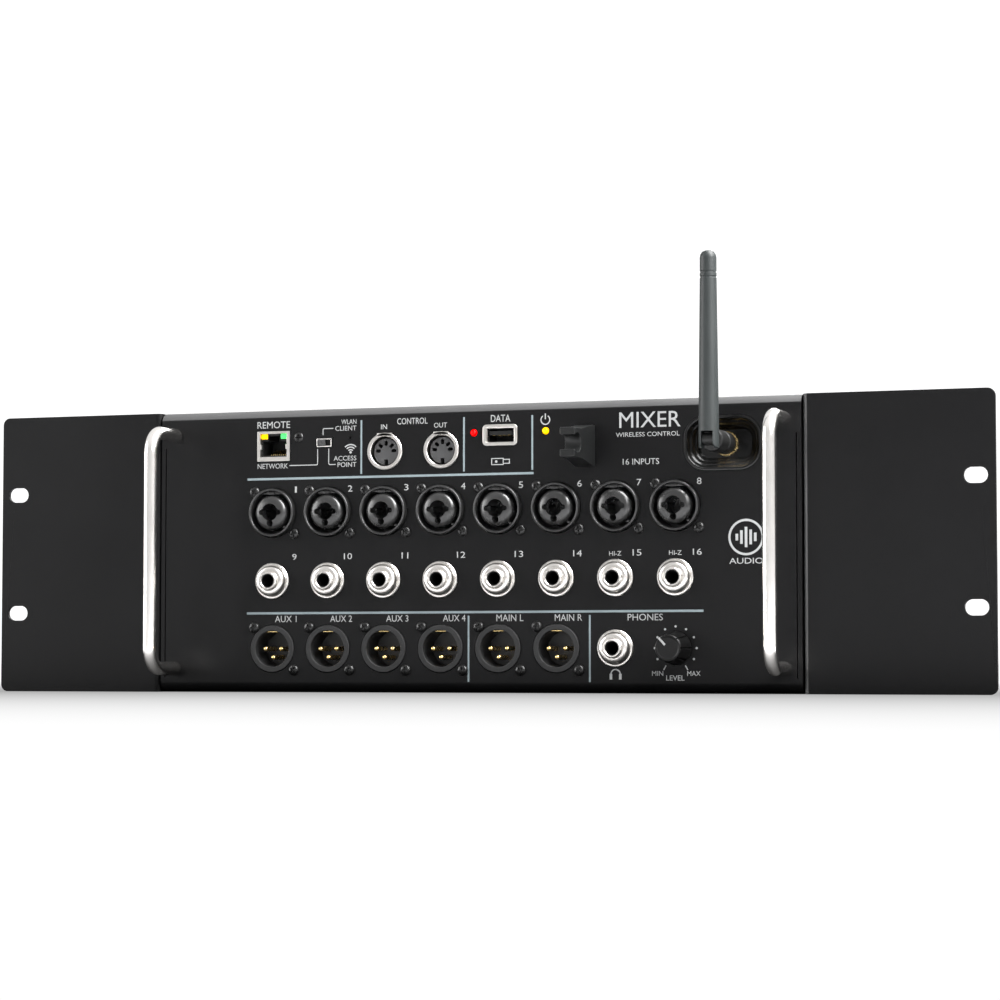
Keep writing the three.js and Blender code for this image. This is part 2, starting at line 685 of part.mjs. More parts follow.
const ear = rackEar();
piece("right_rack_ear", ear, BLACK_PAINT, front);
piece("left_rack_ear", ear, BLACK_PAINT, front).scale.x = -1;

// ---- Handles ----

// Round bar bent twice through a right angle, with a blind screw hole in each leg
function handle() {
  const half = HANDLE_SPACING / 2;
  const grip = -HANDLE_REACH;
  const straight = half - HANDLE_BEND;
  const legEnd = grip + HANDLE_BEND;
  const pull = HANDLE_BEND * 0.552; // control arm of a quarter circle
  const point = (y, z) => new THREE.Vector3(0, y, z);
  const path = new THREE.CurvePath();
  path.add(new THREE.LineCurve3(point(-GAP, -half), point(legEnd, -half)));
  path.add(
    new THREE.CubicBezierCurve3(
      point(legEnd, -half),
      point(legEnd - pull, -half),
      point(grip, -straight - pull),
      point(grip, -straight),
    ),
  );
  path.add(new THREE.LineCurve3(point(grip, -straight), point(grip, straight)));
  path.add(
    new THREE.CubicBezierCurve3(
      point(grip, straight),
      point(grip, straight + pull),
      point(legEnd - pull, half),
      point(legEnd, half),
    ),
  );
  path.add(new THREE.LineCurve3(point(legEnd, half), point(-GAP, half)));
  const section = new THREE.Shape();
  section.absarc(0, 0, HANDLE_RADIUS, 0, 2 * Math.PI);
  const options = { steps: 26, extrudePath: path, curveSegments: 4 };
  const tube = new THREE.ExtrudeGeometry(section, options);
  const holes = [-half, half].map((z) =>
    rodY(HANDLE_SCREW_RADIUS + GAP, -HANDLE_SCREW_LENGTH - GAP, 1, 0, z, 8),
  );
  return cut(tube, ...holes);
}

function screw(headRadius, head, shankRadius, length, sides = 10) {
  return turned(
    [
      [0, -length],
      [shankRadius, -length],
      [shankRadius, 0],
      [headRadius, 0],
      [headRadius, head * 0.6],
      [headRadius * 0.6, head],
      [0, head],
    ],
    sides,
  );
}

const handleShape = handle();
piece("left_handle", handleShape, NICKEL, front, -HANDLE_X, 0, RACK_HEIGHT / 2);
piece("right_handle", handleShape, NICKEL, front, HANDLE_X, 0, RACK_HEIGHT / 2);
const handleScrew = screw(
  HANDLE_SCREW_HEAD_RADIUS,
  HANDLE_SCREW_HEAD,
  HANDLE_SCREW_RADIUS,
  PANEL_BACK + HANDLE_SCREW_LENGTH - GAP,
);
handleLegs.forEach(([x, z], index) => {
  piece("handle_screw_" + (index + 1), handleScrew, BARE_STEEL, front, x, PANEL_BACK, z);
});

// ---- Sockets on the front panel ----

const SOCKET_PLATE_WIDTH = COLUMN_PITCH - SOCKET_PLATE_SPACING;

// Locking socket that takes a three-pin plug round its core and a jack plug inside it
function comboSocket() {
  const nose = turned([
    [0, COMBO_BORE_DEPTH],
    [COMBO_BORE_RADIUS, COMBO_BORE_DEPTH],
    [COMBO_BORE_RADIUS, -COMBO_CORE_PROUD],
    [COMBO_CORE_RADIUS - COMBO_CORE_CHAMFER, -COMBO_CORE_PROUD],
    [COMBO_CORE_RADIUS, -COMBO_CORE_PROUD + COMBO_CORE_CHAMFER],
    [COMBO_CORE_RADIUS, COMBO_GROOVE_DEPTH],
    [COMBO_RADIUS - COMBO_RIM, COMBO_GROOVE_DEPTH],
    [COMBO_RADIUS - COMBO_RIM, -COMBO_PROUD],
    [COMBO_RADIUS, -COMBO_PROUD],
    [COMBO_RADIUS, PANEL_BACK + SOCKET_PLATE_THICKNESS],
    [COMBO_RADIUS, BODY_BACK],
    [0, BODY_BACK],
  ]);
  const plateEnd = PANEL_BACK + SOCKET_PLATE_THICKNESS;
  const mounting = cut(
    bar(SOCKET_PLATE_WIDTH, COMBO_PLATE_HEIGHT, PANEL_BACK, plateEnd),
    rodY(COMBO_RADIUS - COMBO_RIM / 2, 0, plateEnd + 1),
  );
  return join(nose, mounting);
}

// Threaded jack held by a domed nut on the panel's face
function lineJack() {
  const nose = turned(
    [
      [0, JACK_BORE_DEPTH],
      [JACK_BORE_RADIUS, JACK_BORE_DEPTH],
      [JACK_BORE_RADIUS, -JACK_PROUD],
      [JACK_RIM_RADIUS, -JACK_PROUD],
      [JACK_NUT_RADIUS - JACK_NUT_TAPER, -JACK_NUT_SHOULDER],
      [JACK_NUT_RADIUS, -JACK_NUT_EDGE],
      [JACK_NUT_RADIUS, -GAP],
      [JACK_THREAD_RADIUS, -GAP],
      [JACK_THREAD_RADIUS, BODY_BACK - 1],
      [0, BODY_BACK - 1],
    ],
    12,
  );
  const body = cut(
    bar(JACK_BODY, JACK_BODY, PANEL_BACK, BODY_BACK),
    rodY((JACK_BORE_RADIUS + JACK_THREAD_RADIUS) / 2, 0, JACK_BORE_DEPTH + 1),
  );
  return join(nose, body);
}

// Round cup with three pins standing on its floor
function outputSocket() {
  const cup = turned([
    [0, OUTPUT_CUP_DEPTH],
    [OUTPUT_CUP_RADIUS, OUTPUT_CUP_DEPTH],
    [OUTPUT_CUP_RADIUS, -OUTPUT_PROUD],
    [OUTPUT_RADIUS, -OUTPUT_PROUD],
    [OUTPUT_RADIUS, BODY_BACK],
    [0, BODY_BACK],
  ]);
  const pins = [180, 270, 360].map((degrees) => {
    const angle = THREE.MathUtils.degToRad(degrees);
    const x = PIN_CIRCLE * Math.cos(angle);
    const z = PIN_CIRCLE * Math.sin(angle);
    return rodY(PIN_RADIUS, PIN_RECESS, OUTPUT_CUP_DEPTH + 1, x, z, 8);
  });
  const plateHeight = 2 * (OUTPUT_RADIUS + SOCKET_PLATE_MARGIN);
  const plateEnd = PANEL_BACK + SOCKET_PLATE_THICKNESS;
  const mounting = cut(
    bar(SOCKET_PLATE_WIDTH, plateHeight, PANEL_BACK, plateEnd),
    rodY((OUTPUT_RADIUS + OUTPUT_CUP_RADIUS) / 2, 0, plateEnd + 1),
  );
  return join(cup, mounting, ...pins);
}

const combo = comboSocket();
const jack = lineJack();
for (let column = 1; column <= 8; column += 1) {
  const x = columnX(column);
  piece("combo_socket_" + column, combo, BLACK_PLASTIC, front, x, 0, COMBO_ROW_Z);
  piece("line_jack_" + (column + 8), jack, NICKEL, front, x, 0, JACK_ROW_Z);
}
piece("phones_jack", jack, NICKEL, front, columnX(7), 0, OUTPUT_ROW_Z);

const output = outputSocket();
const outputNames = ["aux_output_1", "aux_output_2", "aux_output_3", "aux_output_4"];
outputNames.push("main_output_left", "main_output_right");
outputNames.forEach((name, index) => {
  piece(name, output, GREY_PLASTIC, front, columnX(index + 1), 0, OUTPUT_ROW_Z);
});

// Shielded socket with its latch notch at the top of the mouth
function networkSocket() {
  const mouthBottom = -NETWORK_HEIGHT / 2 + NETWORK_MOUTH_RISE;
  const mouthTop = mouthBottom + NETWORK_MOUTH_HEIGHT;
  const halfMouth = NETWORK_MOUTH_WIDTH / 2;
  const halfLatch = NETWORK_LATCH_WIDTH / 2;
  const latchTop = mouthTop + NETWORK_LATCH_HEIGHT;
  return cut(
    bar(NETWORK_WIDTH, NETWORK_HEIGHT, -NETWORK_PROUD, NETWORK_DEPTH),
    block(-halfMouth, halfMouth, -1, NETWORK_MOUTH_DEPTH, mouthBottom, mouthTop),
    block(-halfLatch, halfLatch, -1, NETWORK_MOUTH_DEPTH, mouthTop - 1, latchTop),
  );
}

piece("network_socket", networkSocket(), BARE_STEEL, front, NETWORK_X, 0, NETWORK_Z);
const networkScrewEnd = PANEL_BACK + NETWORK_SCREW_TAIL;
const panHead = turned(
  [
    [0, -NETWORK_SCREW_PROUD],
    [NETWORK_SCREW_HEAD * 0.66, -NETWORK_SCREW_PROUD * 0.85],
    [NETWORK_SCREW_HEAD, -GAP],
    [NETWORK_SCREW_SHANK, -GAP],
    [NETWORK_SCREW_SHANK, networkScrewEnd],
    [0, networkScrewEnd],
  ],
  8,
);
piece("network_screw", panHead, BLACK_PAINT, front, NETWORK_SCREW_X, 0, NETWORK_SCREW_Z);

// Slide switch: a metal frame with a window, and its ribbed slider at the left stop
const switchZ = TOP_ROW_Z + SWITCH_RISE;
const switchCase = cut(
  join(
    bar(SWITCH_NOSE_WIDTH, SWITCH_NOSE_HEIGHT, -GAP, PANEL_BACK + 1),
    bar(
      SWITCH_NOSE_WIDTH + 2 * SWITCH_FLANGE,
      SWITCH_NOSE_HEIGHT + 2 * SWITCH_FLANGE,
      PANEL_BACK,
      PANEL_BACK + SWITCH_BODY_DEPTH,
    ),
  ),
  bar(SWITCH_WINDOW_WIDTH, SWITCH_WINDOW_HEIGHT, -1, SLIDER_DEPTH),
);
piece("mode_switch_body", switchCase, BARE_STEEL, front, SWITCH_X, 0, switchZ);
const slider = bar(SLIDER_WIDTH, SLIDER_HEIGHT, -SLIDER_PROUD, SLIDER_DEPTH - GAP);
const sliderX = SWITCH_X - SLIDER_TRAVEL / 2;
piece("mode_switch_slider", slider, BLACK_PLASTIC, front, sliderX, 0, switchZ);

// Reset plunger behind its pinhole, reaching back to a key on the main board
const resetBack = BOARD_FROM_PANEL - RESET_TRAVEL - GAP;
const resetCapStart = resetBack - RESET_CAP_LENGTH;
const resetPlunger = turned(
  [
    [0, RESET_RECESS],
    [RESET_STEM_RADIUS, RESET_RECESS],
    [RESET_STEM_RADIUS, resetCapStart],
    [RESET_CAP_RADIUS, resetCapStart],
    [RESET_CAP_RADIUS, resetBack],
    [0, resetBack],
  ],
  8,
);
piece("reset_button", resetPlunger, GREY_PLASTIC, front, RESET_X, 0, TOP_ROW_Z + RESET_RISE);

// Round socket: metal ring on the face, groove for the plug's shell, moulded core
function roundSocket() {
  const ring = turned([
    [0, ROUND_CORE_RECESS],
    [ROUND_CORE_RADIUS, ROUND_CORE_RECESS],
    [ROUND_CORE_RADIUS, ROUND_GROOVE_DEPTH],
    [ROUND_BORE_RADIUS - GAP, ROUND_GROOVE_DEPTH],
    [ROUND_BORE_RADIUS - GAP, -ROUND_RING_PROUD],
    [ROUND_RING_RADIUS, -ROUND_RING_PROUD],
    [ROUND_RING_RADIUS, -GAP],
    [ROUND_BORE_RADIUS, -GAP],
    [ROUND_BORE_RADIUS, ROUND_DEPTH - 1],
    [0, ROUND_DEPTH - 1],
  ]);
  const body = cut(
    bar(ROUND_BODY, ROUND_BODY, PANEL_BACK, ROUND_DEPTH),
    rodY(ROUND_BORE_RADIUS - GAP / 2, 0, ROUND_GROOVE_DEPTH + 1),
  );
  return join(ring, body);
}

const roundShape = roundSocket();
piece("control_socket_in", roundShape, BARE_STEEL, front, ROUND_IN_X, 0, TOP_ROW_Z);
piece("control_socket_out", roundShape, BARE_STEEL, front, ROUND_OUT_X, 0, TOP_ROW_Z);

// Data port: bezel on the face, shell through the panel, contact tongue inside
const portShell = cut(
  join(
    plate(roundedRectangle(PORT_WIDTH, PORT_HEIGHT, PORT_CORNER), -PORT_PROUD, -GAP, 3),
    bar(PORT_SHELL_WIDTH, PORT_SHELL_HEIGHT, -PORT_PROUD / 2, PORT_DEPTH),
  ),
  bar(PORT_MOUTH_WIDTH, PORT_MOUTH_HEIGHT, -2, PORT_DEPTH - 1),
);
const tongueZ = (PORT_MOUTH_HEIGHT - PORT_TONGUE_THICKNESS) / 2 - PORT_TONGUE_RECESS;
const tongue = bar(
  PORT_TONGUE_WIDTH,
  PORT_TONGUE_THICKNESS,
  PORT_TONGUE_RECESS,
  PORT_DEPTH - PORT_SHELL,
  0,
  tongueZ,
);
const portZ = TOP_ROW_Z + PORT_RISE;
piece("data_port", join(portShell, tongue), BARE_STEEL, front, PORT_X, 0, portZ);

// Lamps: a domed lens through the panel and a collar behind it
function lamp() {
  return turned(
    [
      [0, -LED_PROUD],
      [LED_RADIUS * 0.75, -LED_PROUD * 0.7],
      [LED_RADIUS, 0],
      [LED_RADIUS, PANEL_BACK],
      [LED_RADIUS + LED_COLLAR, PANEL_BACK],
      [LED_RADIUS + LED_COLLAR, PANEL_BACK + LED_COLLAR_DEPTH],
      [0, PANEL_BACK + LED_COLLAR_DEPTH],
    ],
    10,
  );
}

piece("data_led", lamp(), RED_LENS, front, DATA_LED_X, 0, TOP_ROW_Z + LED_RISE);
piece("power_led", lamp(), YELLOW_LENS, front, POWER_LED_X, 0, TOP_ROW_Z + LED_RISE);

// ---- Antenna ----

piece("antenna_well", antennaWell(), BLACK_PLASTIC, front);

const antenna = new THREE.Group();
antenna.position.set(ANTENNA_X, 0, TOP_ROW_Z);
front.add(antenna);

// Gold coaxial connector screwed into the well's floor
const connectorFront = WELL_DEPTH - GAP - CONNECTOR_FLANGE;
const connector = turned([
  [0, connectorFront - CONNECTOR_LENGTH],
  [CONNECTOR_THREAD_RADIUS, connectorFront - CONNECTOR_LENGTH],
  [CONNECTOR_THREAD_RADIUS, connectorFront],
  [CONNECTOR_FLANGE_RADIUS, connectorFront],
  [CONNECTOR_FLANGE_RADIUS, WELL_DEPTH - GAP],
  [CONNECTOR_THREAD_RADIUS, WELL_DEPTH - GAP],
  [CONNECTOR_THREAD_RADIUS, WELL_DEPTH + WELL_FLOOR + CONNECTOR_TAIL],
  [0, WELL_DEPTH + WELL_FLOOR + CONNECTOR_TAIL],
]);
piece("antenna_connector", connector, GOLD, antenna);

// Swivel: a sleeve that turns on the connector, with the hinge's knuckle at its front
function antennaSwivel() {
  const sleeveFront = -HINGE_REACH + FOOT_RADIUS + GAP + 0.2;
  const sleeveBack = connectorFront - GAP;
  const boreEnd = connectorFront - CONNECTOR_LENGTH - GAP;
  const sleeve = cut(
    rodY(SWIVEL_RADIUS, sleeveFront, sleeveBack),
    rodY(CONNECTOR_THREAD_RADIUS + GAP, boreEnd, sleeveBack + 1),
  );
  const half = KNUCKLE_WIDTH / 2;
  const knuckle = join(
    rodX(KNUCKLE_RADIUS, -half, half, -HINGE_REACH, 0, 16),
    block(-half, half, -HINGE_REACH, sleeveFront + 1, -KNUCKLE_RADIUS, KNUCKLE_RADIUS),
  );
  const pinHole = rodX(HINGE_PIN_RADIUS + GAP, -half - 1, half + 1, -HINGE_REACH, 0, 10);
  return cut(join(sleeve, knuckle), pinHole);
}

piece("antenna_swivel", antennaSwivel(), BLACK_PLASTIC, antenna);

const pinLength = MAST_BASE_WIDTH - 2 * HINGE_PIN_INSET;
const hingePin = rodX(HINGE_PIN_RADIUS, -pinLength / 2, pinLength / 2, -HINGE_REACH, 0, 10);
piece("antenna_hinge_pin", hingePin, BARE_STEEL, antenna);

// Mast: tapered rod with a round tip, its foot forked round the knuckle
function antennaMast() {
  const tipStart = MAST_LENGTH - MAST_TIP_RADIUS;
  const profile = [[MAST_BASE_RADIUS, 0]];
  for (let step = 0; step <= 3; step += 1) {
    const angle = (step / 3) * (Math.PI / 2);
    const radius = MAST_TIP_RADIUS * Math.cos(angle);
    profile.push([step === 3 ? 0 : radius, tipStart + MAST_TIP_RADIUS * Math.sin(angle)]);
  }
  const rod = turned([[0, 0], ...profile]);
  rod.rotateX(Math.PI / 2).translate(0, -HINGE_REACH, 0);
  const half = MAST_BASE_WIDTH / 2;
  const y0 = -HINGE_REACH - FOOT_RADIUS;
  const foot = join(
    rodX(FOOT_RADIUS, -half, half, -HINGE_REACH, 0, 20),
    block(-half, half, y0, y0 + 2 * FOOT_RADIUS, 0, MAST_BASE_HEIGHT),
  );
  const slotHalf = KNUCKLE_WIDTH / 2 + GAP;
  const slot = block(-slotHalf, slotHalf, y0 - 1, 0, -FOOT_RADIUS - 1, FORK_SLOT_RISE);
  const pinHole = rodX(HINGE_PIN_RADIUS + GAP, -half - 1, half + 1, -HINGE_REACH, 0, 10);
  return cut(join(rod, foot), slot, pinHole);
}

piece("antenna_mast", antennaMast(), ANTENNA_PLASTIC, antenna);

// Parking clip: a hook with a round channel that holds the mast laid on its side
function antennaClip() {
  const tip = -HINGE_REACH - CLIP_LIP;
  const sideView = outline([
    [-GAP, -CLIP_BASE_HEIGHT / 2],
    [-GAP, CLIP_BASE_HEIGHT / 2],
    [-CLIP_BASE, CLIP_BASE_HEIGHT / 2],
    [tip + CLIP_NOSE, CLIP_FRONT_HEIGHT / 2],
    [tip, CLIP_FRONT_HEIGHT / 2],
    [tip, -CLIP_FRONT_HEIGHT / 2],
    [tip + CLIP_NOSE, -CLIP_FRONT_HEIGHT / 2],
    [-CLIP_BASE, -CLIP_BASE_HEIGHT / 2],
  ]);
  const baseHalf = CLIP_BASE_WIDTH / 2;
  const frontHalf = CLIP_FRONT_WIDTH / 2;
  const topView = outline([
    [-baseHalf, 0],
    [-frontHalf, tip - 1],
    [frontHalf, tip - 1],
    [baseHalf, 0],
  ]);
  const hook = trim(
    profileX(sideView, -CLIP_BASE_WIDTH, CLIP_BASE_WIDTH),
    profileZ(topView, -CLIP_BASE_HEIGHT, CLIP_BASE_HEIGHT),
  );
  const wide = CLIP_BASE_WIDTH;
  return cut(
    hook,
    rodX(CLIP_CHANNEL_RADIUS, -wide, wide, -HINGE_REACH, 0, 16),
    block(-wide, wide, tip - 1, -HINGE_REACH, -CLIP_MOUTH, CLIP_MOUTH),
  );
}

piece("antenna_clip", antennaClip(), BLACK_PLASTIC, front, CLIP_X, 0, TOP_ROW_Z);

// ---- Level control ----

const level = new THREE.Group();
level.position.set(KNOB_X, 0, OUTPUT_ROW_Z);
front.add(level);

const bushing = turned([
  [0, POTENTIOMETER_DEPTH - 2],
  [SHAFT_RADIUS + GAP, POTENTIOMETER_DEPTH - 2],
  [SHAFT_RADIUS + GAP, -BUSHING_PROUD],
  [BUSHING_RADIUS, -BUSHING_PROUD],
  [BUSHING_RADIUS, PANEL_BACK + 1],
  [BUSHING_RADIUS, PANEL_BACK + POTENTIOMETER_DEPTH - 1],
  [0, PANEL_BACK + POTENTIOMETER_DEPTH - 1],
]);
const boxed = cut(
  bar(POTENTIOMETER_BODY, POTENTIOMETER_BODY, PANEL_BACK, PANEL_BACK + POTENTIOMETER_DEPTH),
  rodY(SHAFT_RADIUS + 1, 0, POTENTIOMETER_DEPTH - 1),
);
piece("level_potentiometer", join(bushing, boxed), BARE_STEEL, level);

const shaftFront = -KNOB_PROUD + KNOB_ROOF + GAP;
const shaft = rodY(SHAFT_RADIUS, shaftFront, POTENTIOMETER_DEPTH - 2 - GAP);
piece("level_shaft", shaft, BARE_STEEL, level);

// Tapered knob, hollow round the bushing and bored for the shaft
const knobHollow = BUSHING_RADIUS + 2 * GAP;
const knobHollowEnd = -BUSHING_PROUD - 2 * GAP;
const knob = turned([
  [0, -KNOB_PROUD],
  [KNOB_FRONT_RADIUS - 0.6, -KNOB_PROUD],
  [KNOB_FRONT_RADIUS, -KNOB_PROUD + 0.6],
  [KNOB_RADIUS, -KNOB_OFF_PANEL],
  [knobHollow, -KNOB_OFF_PANEL],
  [knobHollow, knobHollowEnd],
  [SHAFT_RADIUS + GAP, knobHollowEnd],
  [SHAFT_RADIUS + GAP, -KNOB_PROUD + KNOB_ROOF],
  [0, -KNOB_PROUD + KNOB_ROOF],
]);
piece("level_knob", knob, BLACK_PLASTIC, level);

// ---- Inside the case ----

// Upright main board behind the sockets, on four stand-offs from the panel
function mainBoard() {
  const boardEnd = BOARD_FROM_PANEL + BOARD_THICKNESS;
  const outermost = columnX(8) + SOCKET_PLATE_WIDTH / 2;
  const standOffX = (outermost + HANDLE_X) / 2 + STANDOFF_SHIFT;
  const half = standOffX + BOARD_EDGE;
  const top = RACK_HEIGHT - BOARD_FROM_TOP;
  const board = block(-half, half, BOARD_FROM_PANEL, boardEnd, BOARD_FROM_BOTTOM, top);
  const standOffs = [-standOffX, standOffX].flatMap((x) =>
    STANDOFF_ROWS.map((z) => rodY(STANDOFF_RADIUS, PANEL_BACK, boardEnd - 1, x, z, 8)),
  );
  const part = (width, height, proud, x, z) =>
    bar(width, height, boardEnd - 0.5, boardEnd + proud, x, z);
  const processor = part(PROCESSOR_SIZE, PROCESSOR_SIZE, PROCESSOR_HEIGHT, 30, 70);
  const heads = part(PREAMPLIFIER_WIDTH, PREAMPLIFIER_RISE, PREAMPLIFIER_HEIGHT, -60, 40);
  return join(board, ...standOffs, processor, heads);
}

piece("main_board", mainBoard(), BOARD, front);

// Power supply on short feet, with its transformer and two capacitors
function powerSupply() {
  const half = SUPPLY_WIDTH / 2;
  const end = SUPPLY_START + SUPPLY_DEPTH;
  const middle = SUPPLY_START + SUPPLY_DEPTH / 2;
  const top = SUPPLY_Z + BOARD_THICKNESS;
  const floor = CASE_SHEET + GAP;
  const board = block(SUPPLY_X - half, SUPPLY_X + half, SUPPLY_START, end, SUPPLY_Z, top);
  const footX = half - SUPPLY_FOOT_INSET;
  const footY = SUPPLY_DEPTH / 2 - SUPPLY_FOOT_INSET;
  const feet = [-footX, footX].flatMap((x) =>
    [-footY, footY].map((y) =>
      rodZ(SUPPLY_FOOT_RADIUS, floor, top - 1, SUPPLY_X + x, middle + y, 8),
    ),
  );
  const transformer = block(
    TRANSFORMER_X - TRANSFORMER_WIDTH / 2,
    TRANSFORMER_X + TRANSFORMER_WIDTH / 2,
    middle - TRANSFORMER_DEPTH / 2,
    middle + TRANSFORMER_DEPTH / 2,
    top - 0.5,
    TRANSFORMER_TOP,
  );
  const capacitors = CAPACITORS_X.map((x) =>
    rodZ(CAPACITOR_RADIUS, top - 0.5, CAPACITOR_TOP, x, middle, 10),
  );
  return join(board, ...feet, transformer, ...capacitors);
}

piece("power_supply_board", powerSupply(), BOARD, front);

// Heat sink: a base with upright fins, on the tray's bottom
function heatSink() {
  const x0 = SINK_X - SINK_WIDTH / 2;
  const x1 = SINK_X + SINK_WIDTH / 2;
  const bottom = CASE_SHEET + GAP;
  const baseTop = bottom + SINK_BASE;
  const depth = (FIN_COUNT - 1) * FIN_PITCH + 3 * FIN_THICKNESS;
  const fins = [];
  for (let fin = 0; fin < FIN_COUNT; fin += 1) {
    const y = SUPPLY_START + FIN_THICKNESS + fin * FIN_PITCH;
    fins.push(block(x0, x1, y, y + FIN_THICKNESS, baseTop - 1, SINK_TOP));
  }
  return join(block(x0, x1, SUPPLY_START, SUPPLY_START + depth, bottom, baseTop), ...fins);
}

piece("heat_sink", heatSink(), BARE_STEEL, front);

// Radio board behind the antenna well, with its shielding can
const radioStart = WELL_DEPTH + WELL_FLOOR + CONNECTOR_TAIL + GAP;
const radioBack = radioStart + RADIO_THICKNESS;
const canBack = radioBack + RADIO_CAN_DEPTH;
const radio = join(
  bar(RADIO_WIDTH, RADIO_HEIGHT, radioStart, radioBack, ANTENNA_X, TOP_ROW_Z),
  bar(RADIO_CAN_WIDTH, RADIO_CAN_HEIGHT, radioBack - 0.2, canBack, ANTENNA_X, TOP_ROW_Z),
);
piece("wireless_module", radio, BOARD, front);

// ---- Rear wall ----

// Mains inlet with three blades in its recess
function mainsInlet() {
  const flange = bar(INLET_FLANGE_WIDTH, INLET_FLANGE_HEIGHT, GAP, GAP + INLET_FLANGE);
  const body = bar(INLET_BODY_WIDTH, INLET_BODY_HEIGHT, -INLET_DEPTH, GAP + 1);
  const floor = -INLET_MOUTH_DEPTH;
  const mouth = bar(INLET_MOUTH_WIDTH, INLET_MOUTH_HEIGHT, floor, INLET_FLANGE + 1);
  const blades = [-1, 0, 1].map((place) => {
    const x = place * INLET_PIN_SPACING;
    const z = place === 0 ? INLET_PIN_RISE : -INLET_PIN_RISE;
    return bar(INLET_PIN_WIDTH, INLET_PIN_HEIGHT, floor - 1, -3, x, z);
  });
  return join(cut(join(flange, body), mouth), ...blades);
}

piece("mains_inlet", mainsInlet(), BLACK_PLASTIC, rear, INLET_X, 0, INLET_Z);

const powerSwitch = new THREE.Group();
powerSwitch.position.set(POWER_SWITCH_X, 0, INLET_Z);
rear.add(powerSwitch);

const powerFrame = cut(
  join(
    bar(
      POWER_BODY_WIDTH + 2 * POWER_FRAME_BORDER,
      POWER_BODY_HEIGHT + 2 * POWER_FRAME_BORDER,
      GAP,
      GAP + POWER_FRAME_FLANGE,
    ),
    bar(POWER_BODY_WIDTH, POWER_BODY_HEIGHT, -POWER_FRAME_DEPTH, GAP + 1),
  ),
  bar(
    ROCKER_OPENING_WIDTH,
    ROCKER_OPENING_HEIGHT,
    -POWER_FRAME_DEPTH + 2,
    POWER_FRAME_FLANGE + 1,
  ),
);
piece("power_switch_frame", powerFrame, BLACK_PLASTIC, powerSwitch);

// Rocker: two sloping faces, and ends that are arcs about its pivot
function powerRocker() {
  const shape = new THREE.Shape();
  shape.moveTo(ROCKER_VALLEY, 0);
  shape.absarc(0, 0, ROCKER_RADIUS, ROCKER_CORNER_ANGLE, ROCKER_BACK_ANGLE);
  shape.lineTo(-5, 4);
  shape.lineTo(-5, -4);
  shape.absarc(0, 0, ROCKER_RADIUS, -ROCKER_BACK_ANGLE, -ROCKER_CORNER_ANGLE);
  return profileX(shape, -ROCKER_WIDTH / 2, ROCKER_WIDTH / 2, 5);
}

const rocker = piece("power_rocker", powerRocker(), BLACK_PLASTIC, powerSwitch);
rocker.position.y = -ROCKER_PIVOT_RECESS;
rocker.rotation.x = -ROCKER_THROW;

export default mixer;
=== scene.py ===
import bmesh
import bpy
import math
from mathutils import Matrix, Vector


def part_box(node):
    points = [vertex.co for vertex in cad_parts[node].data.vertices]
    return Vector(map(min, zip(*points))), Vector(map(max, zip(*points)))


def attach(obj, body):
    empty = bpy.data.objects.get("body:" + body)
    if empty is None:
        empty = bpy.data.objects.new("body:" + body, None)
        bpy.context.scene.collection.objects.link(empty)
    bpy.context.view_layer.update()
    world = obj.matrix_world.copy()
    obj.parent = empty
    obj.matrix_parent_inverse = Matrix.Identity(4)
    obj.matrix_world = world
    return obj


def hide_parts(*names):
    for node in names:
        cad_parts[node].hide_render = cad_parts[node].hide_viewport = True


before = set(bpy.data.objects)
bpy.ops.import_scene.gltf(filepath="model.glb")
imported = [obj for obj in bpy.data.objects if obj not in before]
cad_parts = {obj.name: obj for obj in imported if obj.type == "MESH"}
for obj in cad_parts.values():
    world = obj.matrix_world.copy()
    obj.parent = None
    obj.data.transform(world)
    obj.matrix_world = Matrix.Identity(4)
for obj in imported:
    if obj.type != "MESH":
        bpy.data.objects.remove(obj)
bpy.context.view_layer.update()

# ---- Studio: floor, light and camera ----
# A pale sweep of floor with a soft shadow painted on it round the mixer, under a white surround,
# a large soft light above the right end and weaker ones on both sides and behind, and a long
# lens near the floor, right of the mixer.

mm = 0.001
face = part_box("front_panel")[0].y


class Wire:
    """A shader socket. Sums on it add their own Math nodes."""

    def __init__(self, tree, socket):
        self.tree = tree
        self.socket = socket

    def math(self, operation, first, second=0.0):
        return add_node(self.tree, "Math", {"operation": operation}, {0: first, 1: second})["Value"]

    def __add__(self, other):
        return self.math("ADD", self, other)

    def __sub__(self, other):
        return self.math("SUBTRACT", self, other)

    def __rsub__(self, other):
        return self.math("SUBTRACT", other, self)

    def __mul__(self, other):
        return self.math("MULTIPLY", self, other)

    def __gt__(self, other):
        return self.math("GREATER_THAN", self, other)

    __radd__ = __add__
    __rmul__ = __mul__

    def ramp(self, low, high, start=0.0, end=1.0):
        """Goes smoothly from start to end as the value goes from low to high."""
        inputs = {"Value": self, "From Min": low, "From Max": high, "To Min": start, "To Max": end}
        return add_node(self.tree, "MapRange", {"interpolation_type": "SMOOTHSTEP"}, inputs)["Result"]


def add_node(tree, kind, settings, inputs):
    """Adds a node with its settings, then its sockets' values or links, and gives its outputs."""
    node = tree.nodes.new("ShaderNode" + kind)
    for key, value in settings.items():
        setattr(node, key, value)
    for key, value in inputs.items():
        if isinstance(value, Wire):
            tree.links.new(value.socket, node.inputs[key])
        else:
            node.inputs[key].default_value = value
    return {output.name: Wire(tree, output) for output in node.outputs if output.enabled}


def mix_colours(tree, share, first, second):
    """Goes from the first colour to the second, whose sockets are 6 and 7, by a share."""
    inputs = {0: share, 6: (*first, 1.0), 7: (*second, 1.0)}
    return add_node(tree, "Mix", {"data_type": "RGBA"}, inputs)["Result"]


